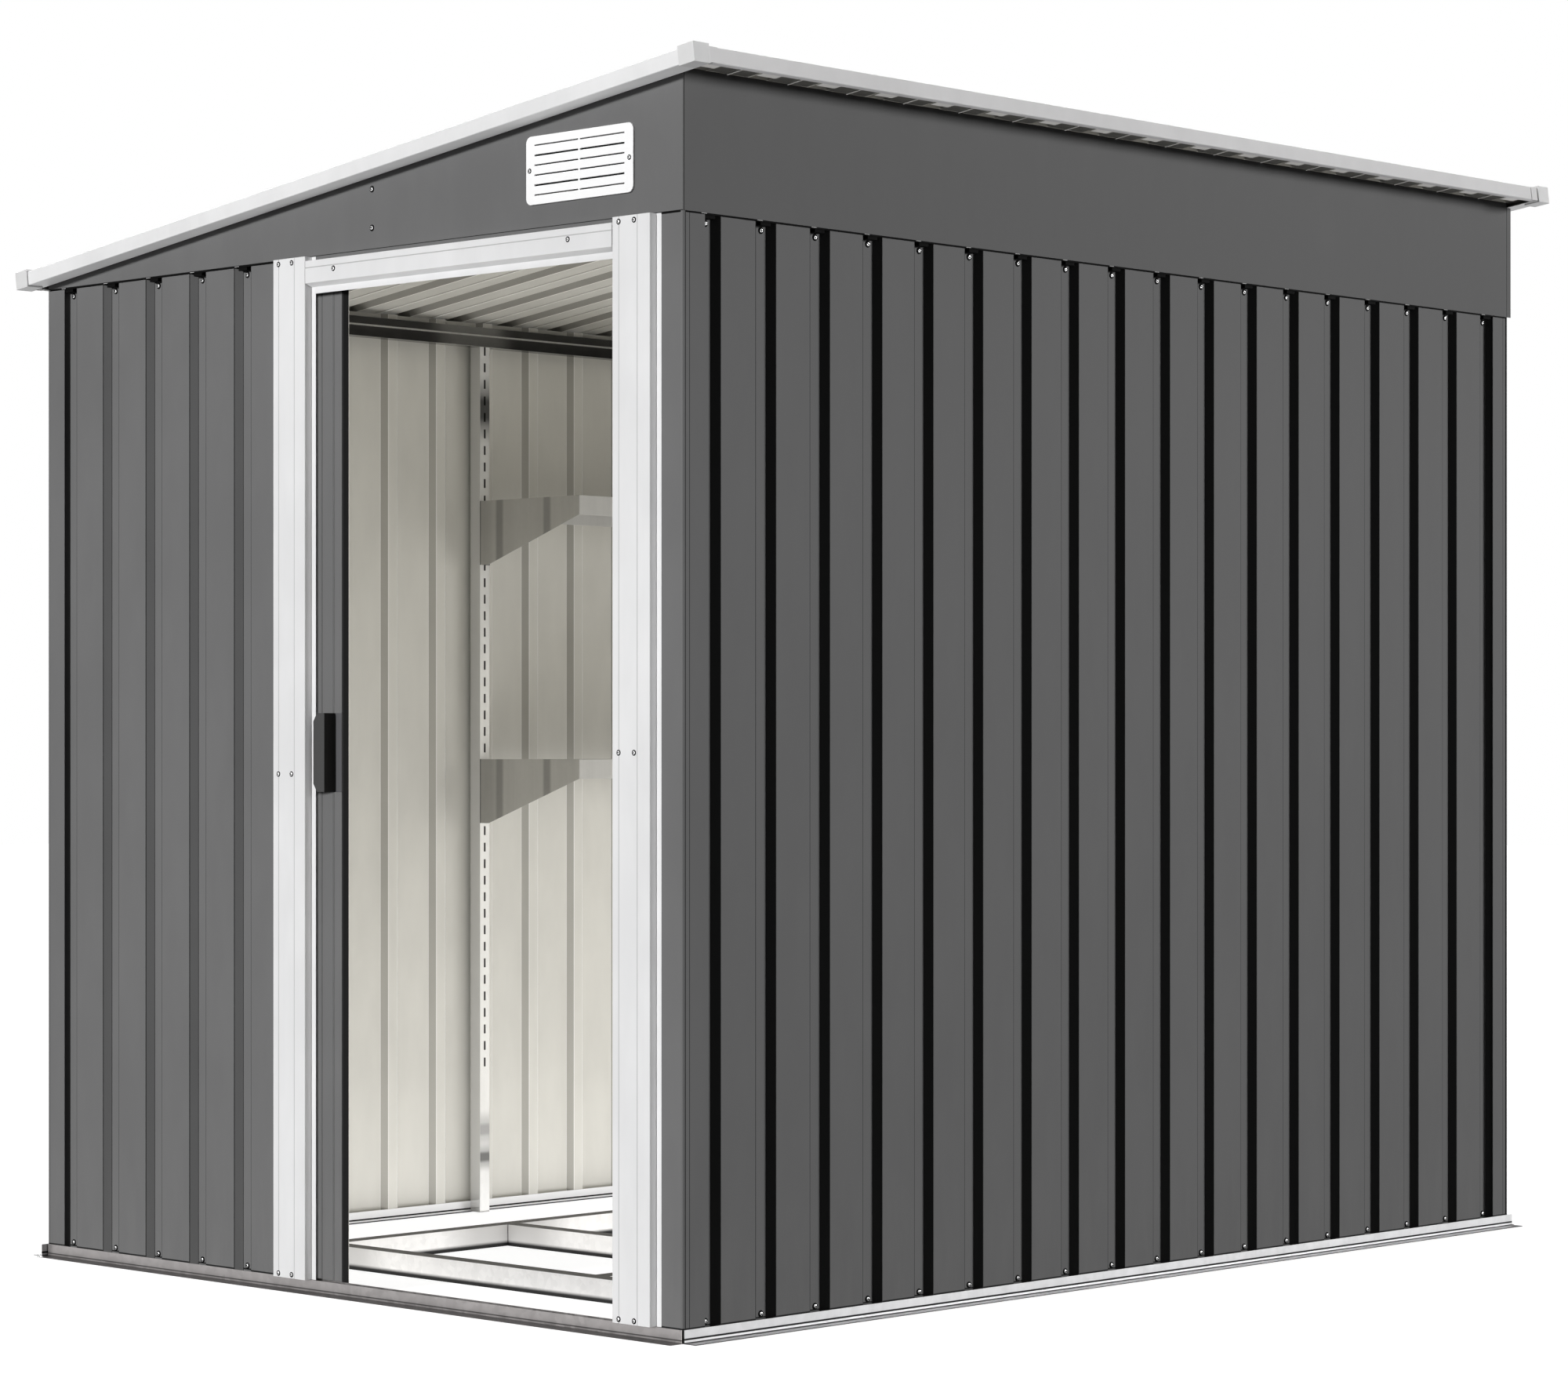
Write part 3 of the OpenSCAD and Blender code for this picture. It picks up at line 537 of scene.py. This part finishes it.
GABLE_SCREW_X = right_x - 0.785
GABLE_SCREW_HEIGHTS = (1.908, 1.977)
GABLE_OUT = 0.0013   # the gables' outer face beyond the walls
heads = []
for side, y in ((-1, front_y - GABLE_OUT), (1, rear_y + GABLE_OUT)):
    heads += [(Vector((GABLE_SCREW_X, y, z)), Y * side) for z in GABLE_SCREW_HEIGHTS]
screws("gable_screws", heads)


# ---------------------------------------------------------------------------
# Door frame
# White stoved sheet: two jambs folded proud of the wall and a header between them, each
# with two pressed creases, screwed to the wall beside and above the doorway.

JAMB_CREASES = (0.0285, 0.0415)   # from the low and from the high edge of a jamb
HEADER_CREASE = 0.0125            # below the header's top
FRAME_BEND = 0.0012
COOL_WHITE = (1, 1, 1.006)
# Painted shade: dark lines in the creases of the jambs and the header, and at the header's ends.
creases = [edge for low, high in jamb_boxes
           for edge in (low.x + JAMB_CREASES[0], high.x - JAMB_CREASES[1])]
jamb_white = enamel("jamb_white", 229, COOL_WHITE, 0.45, dust=0.06, gloss=0.12,
                    painted_lines=[("X", creases, 0.0011)], shade_line_tone=0.68)
header_white = enamel("header_white", 223, COOL_WHITE, 0.45, dust=0.0, gloss=0.12,
                      painted_lines=[("Z", [header_high.z - HEADER_CREASE], 0.0011),
                             ("X", [header_low.x + 0.0008, header_high.x - 0.0008], 0.001)],
                      shade_line_tone=0.66)
frame_pieces = []
for node, (low, high) in zip(("door_jamb_left", "door_jamb_right"), jamb_boxes):
    frame_pieces.append(folded_sheet(node, Z, (low.z + high.z) / 2, (low.z, high.z), [jamb_white],
                                     bend=FRAME_BEND))
finish_nodes(["door_header"], header_white, 0.0006)

JAMB_SCREWS_X = (0.028, 0.065)             # from the low edge of a jamb
JAMB_SCREWS_Z = (0.030, 1.861)
JAMB_MIDDLE_SCREWS_Z = (0.936, 0.975)      # on the left and on the right jamb
HEADER_SCREWS_X = (0.873, 0.260)           # from the high side
HEADER_SCREWS_Z = 1.842
jamb_face = jamb_boxes[0][0].y
heads = []
for (low, high), middle_z in zip(jamb_boxes, JAMB_MIDDLE_SCREWS_Z):
    heads += [(Vector((low.x + x, jamb_face, z)), -Y)
              for x in JAMB_SCREWS_X for z in (JAMB_SCREWS_Z[0], middle_z, JAMB_SCREWS_Z[1])]
heads += [(Vector((right_x - x, jamb_face, HEADER_SCREWS_Z)), -Y) for x in HEADER_SCREWS_X]
screws("frame_screws", heads, 0.0031, 0.002)


# ---------------------------------------------------------------------------
# Sliding door
# A pan of the same pressed sheet with closed top and bottom edges, hung from two wheels
# that run in a galvanised track. A folded black pull is screwed to its leading edge.

LEAF_FOLDS = (0.0255, 0.0584)   # in from each edge of the leaf
LEAF_LIP_T = 0.0015
leaf_low, leaf_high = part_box("door_leaf")
folds = [leaf_low.x + fold for fold in LEAF_FOLDS] + [leaf_high.x - fold for fold in LEAF_FOLDS]
# Painted shade: dark lines on the leaf's folds and along its two edges.
door_outside = enamel("door_grey_outside", 104, COOL, shade_line_tone=0.07,
                      painted_lines=[("X", folds, 0.0018), ("X", [leaf_low.x, leaf_high.x], 0.0030)])


def leaf_side(normal, point):
    """Picks cream on the faces that look into the pan and grey on the others, as on the walls, and
    their darker copies, painted shade, on the slanted flanks.
    """
    inside = 1 if normal.y > 0.3 and point.y < leaf_high.y - LEAF_LIP_T else 0
    return inside + (4 if 0.05 < abs(normal.normalized().y) < 0.9 else 0)


leaf_colours = [door_outside, wall_inside, door_outside, wall_inside, front_flank_shade, cream_flank_shade]
leaf = folded_sheet("door_leaf", Z, (leaf_low.z + leaf_high.z) / 2, (leaf_low.z, leaf_high.z),
                    leaf_colours, leaf_side, body="door")

PULL_FOOT = 0.018   # the width of the pull's foot, beside its web
pull = Finish("pull_black", Specular_IOR_Level=0.25)
grain = pull.noise(2600.0, 2.0)
web_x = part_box("door_handle")[1].x - PULL_FOOT
grain_and_shade = pull.blend(grain.between(0.35, 0.7), grey(50), grey(64))
# Painted light and shade: the foot beyond the web is painted lighter as a lit side, and the web
# black as shade.
grain_and_shade = pull.blend(pull.along("X").between(web_x, web_x + 0.001), grain_and_shade, grey(84, (1, 1, 1.06)))
grain_and_shade = pull.blend(pull.painted_lines("X", [web_x], 0.0011), grain_and_shade, grey(4))
pull_black = pull.feed(Base_Color=grain_and_shade, Roughness=0.45 + grain * 0.15,
                       Normal=pull.bumps(grain, 0.25, 0.0003))
finish_nodes(["door_handle"], pull_black, 0.0005)


# ---------------------------------------------------------------------------
# Galvanised steel
# Base rails, floor frame, track, beams, shelf uprights, brackets and shelves are folded
# from zinc-coated strip with a faint spangle, cut and bolted bare. Each kind of part takes
# its own level of the zinc, from near black on the beams to near white on the floor frame:
# painted light, shade and reflection.

FIRST_SLOT, SLOT_STEP = 0.31875, 0.035   # up an upright: the lowest slot's middle, and the step
SLOT_HALF_L, SLOT_HALF_W = 0.00875, 0.0026


def galvanised(name, level, tint, rough, spangle=0.5, bands=0.0, painted_lines=(), metal=1.0, edge=1.0,
               relief=0.05, gloss=0.5, slot_middles=()):
    """Zinc on strip: a faint spangle and drawing streaks, with painted reflection in broad dark
    bands, painted shade and painted highlight on narrow lines, and painted shade in the slots.
    """
    zinc = Finish(name, Metallic=metal, Specular_Tint=(edge, edge, edge, 1),
                  Specular_IOR_Level=gloss)
    shade = zinc.node("ShaderNodeSeparateColor", {}, {"Color": zinc.cells(95.0)}, "Red")
    drawn = zinc.noise(24.0, 4.0, (1, 1, 0.06), 0.6)
    tone = (shade * spangle + drawn * (1 - spangle)).between(0.2, 0.8)
    base = zinc.blend(tone, grey(level * 0.965, tint), grey(min(255, level * 1.025), tint))
    if bands:
        reflection_band = 1 - zinc.noise(9.0, 1.0, (1, 1, 0.05), 0.4).between(0.34, 0.5)
        base = zinc.blend(reflection_band * bands, base, grey(level * 0.3, tint))
    for axis, places, half_width, tone_there in painted_lines:
        base = zinc.blend(zinc.painted_lines(axis, places, half_width), base, grey(tone_there, tint))
    # Painted shade: black over the slots of the uprights.
    if slot_middles:
        up = zinc.along("Z") - (FIRST_SLOT - SLOT_STEP / 2)
        off_slot = (((up * (1 / SLOT_STEP)).fraction() - 0.5) * SLOT_STEP).size()
        in_row = 1 - off_slot.between(SLOT_HALF_L, SLOT_HALF_L + 0.0015)
        foot = FIRST_SLOT - SLOT_HALF_L
        slotted = zinc.along("Z").between(foot - 0.003, foot - 0.001)
        slot_shade = in_row * zinc.painted_lines("Y", slot_middles, SLOT_HALF_W) * slotted
        base = zinc.blend(slot_shade, base, grey(5))
    shine = rough + (shade - 0.5) * (2 * relief) + (drawn - 0.5) * (2.4 * relief)
    return zinc.feed(Base_Color=base, Roughness=shine,
                     Normal=zinc.bumps(shade * 0.4 + zinc.noise(700.0, 2.0) * 0.6, relief, 0.0003))


END_CREASE, SIDE_CREASE = 0.0056, 0.0074   # the height of the lip's fold on the base rails
rails = [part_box("base_rail_left"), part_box("base_rail_right")]
inner_faces = [rails[0][1].x, rails[1][0].x]
outer_edges = [rails[0][0].x, rails[1][1].x]
# Painted light and shade: the end rails darker and the side rails lighter as light falls on them,
# dark lines at their folds, lips and feet, and a light line along the side rails' inner faces.
zinc_end = galvanised("zinc_end_rails", 151, (1, 0.95, 0.94), 0.4, 0.3,
                      painted_lines=[("Z", [END_CREASE], 0.0012, 84), ("Z", [0.0], 0.0019, 84)])
zinc_side = galvanised("zinc_side_rails", 192, (0.985, 0.985, 1), 0.3, 0.15,
                       painted_lines=[("X", inner_faces, 0.0007, 255), ("Z", [SIDE_CREASE], 0.0018, 18),
                              ("X", outer_edges, 0.0036, 50), ("Z", [0.0], 0.0026, 30)],
                       metal=0.5, edge=0.12, relief=0.008, gloss=0.12)
finish_nodes(["base_rail_front", "base_rail_back"], zinc_end)
finish_nodes(["base_rail_left", "base_rail_right"], zinc_side)

# Painted shade on the floor frame: darker where its members meet, before each cross member
# behind the first and at the cross members' ends on the first long beam, with dark lines
# along the top edges and black at the feet.
FLOOR_TINT = (1, 0.985, 0.97)
member_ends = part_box("floor_cross_members")[0].x
edges = sorted(v.co.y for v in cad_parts["floor_cross_members"].data.vertices)
member_fronts = [b for a, b in zip(edges, edges[1:]) if b - a > 0.1]
floor_shade_lines = [("Z", [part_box("floor_beams")[1].z], 0.0012, 96), ("Z", [0.0], 0.0100, 2)]
zinc_floor = galvanised("zinc_floor", 250, FLOOR_TINT, 0.6, 0.3, metal=0.0, relief=0.01,
                        painted_lines=[("Y", member_fronts, 0.15, 204)] + floor_shade_lines)
zinc_cross = galvanised("zinc_cross_members", 250, FLOOR_TINT, 0.6, 0.3, metal=0.0, relief=0.01,
                        painted_lines=[("X", [member_ends], 0.15, 204),
                               ("X", [member_ends], 0.0022, 2)] + floor_shade_lines)
finish_nodes(["floor_beams"], zinc_floor)
finish_nodes(["floor_cross_members"], zinc_cross)

BEAM_STEP = 1.857   # the height of the step in the top beams
uprights = ("shelf_upright_front", "shelf_upright_back")
upright_boxes = [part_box(node) for node in uprights]
upright_middles = [sum(corner.y for corner in corners) / 2 for corners in upright_boxes]
# Painted highlight: a light line along the beams' step. Painted reflection: a broad light band
# across the eave beam near the front upright.
zinc_beam = galvanised("zinc_beams", 90, (1, 0.99, 0.965), 0.18, 0.08,
                       painted_lines=[("Z", [BEAM_STEP], 0.0012, 235)])
zinc_eave = galvanised("zinc_eave_beam", 88, (1, 0.99, 0.965), 0.18, 0.08, relief=0.008,
                       painted_lines=[("Y", [upright_middles[0] - 0.03], 0.10, 164),
                              ("Z", [BEAM_STEP], 0.0028, 255)])
finish_nodes(["gable_struts", "door_track", "top_beam_back", "top_beam_right", "door_hangers"],
             zinc_beam)
finish_nodes(["eave_beam_left"], zinc_eave)

# Painted reflection of the room: soft dark bands across the uprights: height, half width, tone.
UPRIGHT_REFLECTIONS = ((1.70, 0.06, 176), (1.70, 0.030, 92), (0.176, 0.034, 212),
                 (0.176, 0.013, 178), (0.118, 0.026, 196), (0.118, 0.011, 124))
upright_painted_lines = [("Z", [z], half_width, tone) for z, half_width, tone in UPRIGHT_REFLECTIONS]
# Painted shade: a faint dark line along one edge of each upright.
upright_painted_lines.append(("Y", [low.y for low, high in upright_boxes], 0.0006, 214))
zinc_upright = galvanised("zinc_uprights", 246, (1, 0.995, 0.98), 0.2, 0.08, metal=0.3,
                          painted_lines=upright_painted_lines, slot_middles=upright_middles)
finish_nodes(uprights, zinc_upright)
# Painted shade: black strips close behind the slots stand for the shade seen through them.
slot_shade_backs = [((high.x - 0.0045, low.y + 0.0018, low.z + 0.28),
          (high.x - 0.002, high.y - 0.0018, high.z - 0.01)) for low, high in upright_boxes]
blocks("upright_slot_shade", slot_shade_backs, 0.0003, rubber_and_shade_black)

BRACKET_REFLECTIONS = (0.20, 0.68)   # where painted dark reflections cross a bracket, as shares of its reach
bracket_low, bracket_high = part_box("shelf_brackets")
dark_reflection_places = [bracket_low.x + (bracket_high.x - bracket_low.x) * share for share in BRACKET_REFLECTIONS]
# Painted reflection: dark bands across the brackets. Painted shade: a dark line along the end of
# each bracket nearest the wall.
zinc_bracket = galvanised("zinc_brackets", 196, (1, 0.99, 0.955), 0.4, 0.0, 0.2, metal=0.7,
                          painted_lines=[("X", dark_reflection_places, 0.012, 158), ("X", [bracket_low.x], 0.0020, 30)])
zinc_shelf = galvanised("zinc_shelves", 204, (1, 0.99, 0.965), 0.45, 0.0, metal=0.3)
finish_nodes(["shelf_brackets"], zinc_bracket, 0.0003)
finish_nodes(["shelf_lower", "shelf_upper"], zinc_shelf)


# ---------------------------------------------------------------------------
# Vents
# Injection-moulded white plates over a hole in each gable, with two columns of slots.

plastic = Finish("vent_white", Specular_IOR_Level=0.4)
flow = plastic.noise(60.0, 3.0)
pebble = plastic.noise(1800.0, 2.0)
vent_white = plastic.feed(Base_Color=plastic.blend(flow, grey(250), grey(255)),
                          Roughness=0.34 + flow * 0.1, Normal=plastic.bumps(pebble, 0.06, 0.0003))
finish_nodes(["vent_front", "vent_back"], vent_white, 0.0006)
VENT_BORDER = 0.0165
SLOT_ROWS = 6
ROW_EDGE = 0.016      # from the plate's edge to the middle of the outer rows
LIP_INSET = 0.0205    # from the plate's edge to the end of a lip
SCREW_INSET = 0.009
heads, slot_shade_plates, lips = [], [], []
for node, side in (("vent_front", -1), ("vent_back", 1)):
    low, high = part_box(node)
    plate_back, plate_face = (high.y, low.y) if side < 0 else (low.y, high.y)
    near, far = sorted(plate_back - side * depth for depth in (0.0001, 0.0009))
    slot_shade_plates.append(((low.x + VENT_BORDER, near, low.z + VENT_BORDER),
                  (high.x - VENT_BORDER, far, high.z - VENT_BORDER)))
    near, far = sorted((plate_back, plate_face - side * 0.0006))
    row = (high.z - low.z - 2 * ROW_EDGE) / (SLOT_ROWS - 1)
    for k in (0, 2, 3, 5):
        z = low.z + ROW_EDGE + k * row
        lips.append(((low.x + LIP_INSET, near, z - 0.0017), (high.x - LIP_INSET, far, z - 0.0009)))
    middle = (low.z + high.z) / 2
    heads += [(Vector((x, plate_face, middle)), Y * side)
              for x in (low.x + SCREW_INSET, high.x - SCREW_INSET)]
# Painted shade: black plates close behind the slots stand for the shade seen through them.
blocks("vent_slot_shade", slot_shade_plates, 0.0001, rubber_and_shade_black)
blocks("vent_lips", lips, 0.0001, vent_white)
screws("vent_screws", heads, 0.0028, 0.0018)


# ---------------------------------------------------------------------------
# Roof
# Four lapped sheets with ribs pressed upward that run down the slope, dark outside and
# cream below. White folded trims cap the edges, and moulded caps cover their corners.

SLOPE_RISE = 0.12493   # metres up for each metre along, as the gables are cut
slope = Vector((1, 0, SLOPE_RISE)).normalized()
off_roof = slope.cross(Y)
roof_outside = enamel("roof_grey_outside", SHED_GREY, COOL, dust=0.0)
roof_inside = enamel("roof_cream_inside", 210, (1, 0.98, 0.912), 0.45, 0.0)
# Painted highlight and shade: the cream again, lighter on the folds and darker on the slanted
# flanks below the ribs.
roof_fold_highlight = enamel("roof_cream_fold_highlight", 252, (1, 0.985, 0.93), 0.4, 0.0)
roof_flank_shade = enamel("roof_cream_flank_shade", 172, (1, 0.975, 0.9), 0.45, 0.0)
roof_colours = [roof_outside, roof_inside, roof_outside, roof_fold_highlight, roof_outside, roof_flank_shade]
trim_white = enamel("trim_white", 227, COOL, 0.45, 0.0, 0.12)
# Painted shade: a darker copy of the trims' white for the side trims and their straps.
side_trim_shaded_white = enamel("side_trim_shaded_white", 212, (1, 0.99, 0.995), 0.45, 0.0, 0.12)
cap_white = enamel("cap_white", 214, rough=0.4, dust=0.0, gloss=0.12)
bead_highlight_cream = enamel("roof_bead_highlight_cream", 236, (1, 0.985, 0.95), 0.4, 0.0, 0.2)


def down_slope(node):
    """Where a CAD node starts and ends along the slope."""
    spots = [v.co.dot(slope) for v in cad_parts[node].data.vertices]
    return min(spots), max(spots)


panels = [f"roof_panel_{k}" for k in range(1, 5)]
for node in panels:
    ends = down_slope(node)
    folded_sheet(node, slope, sum(ends) / 2, ends, roof_colours, pressed(off_roof))
trim_pieces = []
for node in ("roof_trim_front", "roof_trim_back"):
    ends = down_slope(node)
    trim_pieces.append(folded_sheet(node, slope, sum(ends) / 2, ends, [trim_white],
                                    bend=FRAME_BEND))
for node in ("roof_trim_left", "roof_trim_right"):
    low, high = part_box(node)
    trim_pieces.append(folded_sheet(node, Y, (low.y + high.y) / 2, (low.y, high.y),
                                    [side_trim_shaded_white], bend=FRAME_BEND))
finish_nodes(["roof_corner_caps"], cap_white, 0.0012)

# The small pieces of the roof are laid out flat, X up the slope from the top of the low
# wall, and turned onto it.
roof_start = Vector((left_x, 0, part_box("left_wall")[1].z + SHEET))
roof_turn = Matrix.Translation(roof_start) @ Matrix.Rotation(-math.atan(SLOPE_RISE), 4, "Y")
low_end, high_end = (end - roof_start.dot(slope) for end in down_slope("roof_trim_front"))
high_wall = (right_x - left_x) * (slope.x + SLOPE_RISE * slope.z)
STRAP_OUT, STRAP_IN = 0.0101, 0.012   # a strap's ends, beyond and within the walls
STRAP_LOW, STRAP_HIGH = -0.0098, 0.0168
strap_ends = ((front_y - STRAP_OUT, front_y + STRAP_IN), (rear_y - STRAP_IN, rear_y + STRAP_OUT))
straps = []
for x, side in ((low_end, -1), (high_end, 1)):
    near, far = sorted(x + side * out for out in (0.0001, 0.0008))
    straps += [((near, a, STRAP_LOW), (far, b, STRAP_HIGH)) for a, b in strap_ends]


def within_walls(places):
    """The places in Y that are clear of the front and the back wall."""
    return [y for y in places if front_y + 0.02 < y < rear_y - 0.02]


def middles(places):
    return [(a + b) / 2 for a, b in places]


# Painted highlight: beads along the flats and blocks in the ribs' open ends, in a cream lighter
# than the sheet's, stand for the light lines and patches under the eaves.
BEAD_HALF_W, BEAD_LOW = 0.0013, -0.0022
RIB_PATCH_HALF_W, RIB_PATCH_LOW, RIB_PATCH_HIGH = 0.0225, -0.0018, -0.0003
rib_edges = []
for node in panels:
    outline = cut_outlines(node, slope, slope.z * roof_start.z)[0]
    top = max(p.y for p in outline)
    rib_edges += [p.x for p in outline if abs(p.y - top) < 1e-5]
rib_edges.sort()
ribs = middles(zip(rib_edges[::2], rib_edges[1::2]))
flats = middles(zip(ribs, ribs[1:]))
beads = [((low_end + 0.003, y - BEAD_HALF_W, BEAD_LOW),
          (high_end - 0.003, y + BEAD_HALF_W, -0.0001)) for y in within_walls(flats)]
overhangs = ((low_end + 0.006, -0.0025), (high_wall + 0.020, high_end - 0.006))
rib_end_patches = [((a, y - RIB_PATCH_HALF_W, RIB_PATCH_LOW), (b, y + RIB_PATCH_HALF_W, RIB_PATCH_HIGH))
           for y in within_walls(ribs) for a, b in overhangs]
under_pieces = [blocks("roof_beads", beads, 0.0007, bead_highlight_cream, roof_turn),
                blocks("rib_end_highlights", rib_end_patches, 0.0004, bead_highlight_cream, roof_turn)]
trim_pieces.append(blocks("trim_straps", straps, 0.0002, side_trim_shaded_white, roof_turn))


# ---------------------------------------------------------------------------
# Studio
# A white floor and sky, distant soft lamps around and above, and two hidden soft lamps in
# the room. Some lamps light only the white frame, the roof's underside or the door leaf.

scene = bpy.context.scene
scene.view_settings.view_transform = "Standard"


def sun(name, source, strength, width_deg):
    """A distant soft lamp that shines from the direction `source`."""
    lamp = bpy.data.lights.new(name, "SUN")
    lamp.energy = strength * math.pi
    lamp.angle = math.radians(width_deg)
    holder = bpy.data.objects.new(name, lamp)
    holder.rotation_euler = (-Vector(source)).to_track_quat("-Z", "Y").to_euler()
    scene.collection.objects.link(holder)
    return holder


front_lamp = sun("front_lamp", (-0.08, -0.95, 0.22), 0.98, 7)
sun("right_lamp", (0.62, 0.74, 0.14), 0.80, 12)
sun("left_lamp", (-0.80, 0.45, 0.30), 0.5, 20)
sun("top_lamp", (0, 0.05, 1), 0.6, 30)


def panel_lamp(name, place, turn_deg, size, power):
    """A flat lamp inside the room that no eye and no reflection sees."""
    lamp = bpy.data.lights.new(name, "AREA")
    lamp.shape = "RECTANGLE"
    lamp.size, lamp.size_y = size
    lamp.energy = power
    holder = bpy.data.objects.new(name, lamp)
    holder.location = place
    holder.rotation_euler = [math.radians(a) for a in turn_deg]
    holder.visible_camera = False
    holder.visible_glossy = False
    scene.collection.objects.link(holder)


panel_lamp("ground_glow", ((left_x + right_x) / 2, 0.0, 0.004), (180, 0, 0), (1.66, 2.30), 19.9)
panel_lamp("back_glow", (right_x - 0.32, 0.75, 1.0), (90, 0, 125), (0.7, 1.5), 4.6)


def lit_only(lamp, pieces, state="INCLUDE"):
    """Keeps a lamp's light to some pieces, or off them."""
    group = bpy.data.collections.new(lamp.name + "_lit")
    for piece in pieces:
        group.objects.link(piece)
    for member in group.collection_objects:
        member.light_linking.link_state = state
    lamp.light_linking.receiver_collection = group


header, caps, beams, cross_members = (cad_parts[node] for node in (
    "door_header", "roof_corner_caps", "floor_beams", "floor_cross_members"))
lit_only(sun("frame_side_lamp", (0.95, -0.03, 0.25), 0.27, 20), frame_pieces + [header])
lit_only(sun("under_lamp", (0.3, -0.12, -0.9), 0.36, 20),
         trim_pieces + under_pieces + [header, caps])
lit_only(front_lamp, [leaf, beams, cross_members], "EXCLUDE")
lit_only(sun("door_lamp", (0.7, -0.7, 0.1), 1.68, 10), [leaf])


def straight_sight(nodes):
    """1 for what the camera sees directly, in a reflection or through a clear part, else 0."""
    camera_ray, glossy_ray, clear_ray = (nodes.node("ShaderNodeLightPath", {}, {}, f"Is {kind} Ray")
                                         for kind in ("Camera", "Glossy", "Transmission"))
    return camera_ray.most(glossy_ray).most(clear_ray)


world = bpy.data.worlds.new("studio")
scene.world = world
world.use_nodes = True
sky = Nodes(world.node_tree)
backdrop = sky.node("ShaderNodeBackground", {}, {"Color": (1, 1, 1, 1),
                                                 "Strength": straight_sight(sky) * 0.98 + 0.02})
sky.plug(sky.tree.nodes["World Output"].inputs["Surface"], backdrop)

REACH = 30.0
corners = [(x * REACH, y * REACH, 0) for x, y in ((-1, -1), (1, -1), (1, 1), (-1, 1))]
floor_mesh = bpy.data.meshes.new("floor")
floor_mesh.from_pydata(corners, [], [(0, 1, 2, 3)])
floor = bpy.data.objects.new("floor", floor_mesh)
floor.location.z = -0.0005
floor.visible_shadow = False
scene.collection.objects.link(floor)
ground = Finish("floor_white", Base_Color=(0.3, 0.3, 0.3, 1), Specular_IOR_Level=0,
                Emission_Color=(1, 1, 1, 1), Emission_Strength=0.86)
bounce = ground.node("ShaderNodeBsdfDiffuse", {}, {"Color": (0.04, 0.04, 0.04, 1)})
paper = ground.node("ShaderNodeMixShader", {}, {"Fac": straight_sight(ground), 1: bounce,
                                                2: Value(ground, ground.shader.outputs[0])})
ground.plug(ground.tree.nodes["Material Output"].inputs["Surface"], paper)
floor_mesh.materials.append(ground.material)

lens = bpy.data.cameras.new("camera")
lens.sensor_width = 36
lens.lens = 96.21
lens.shift_y = 0.0365
lens.clip_end = 100
camera = bpy.data.objects.new("camera", lens)
camera.location = (5.771, -6.057, 0.980)
camera.rotation_euler = (math.radians(90), 0, math.radians(43.9))
scene.collection.objects.link(camera)
scene.camera = camera
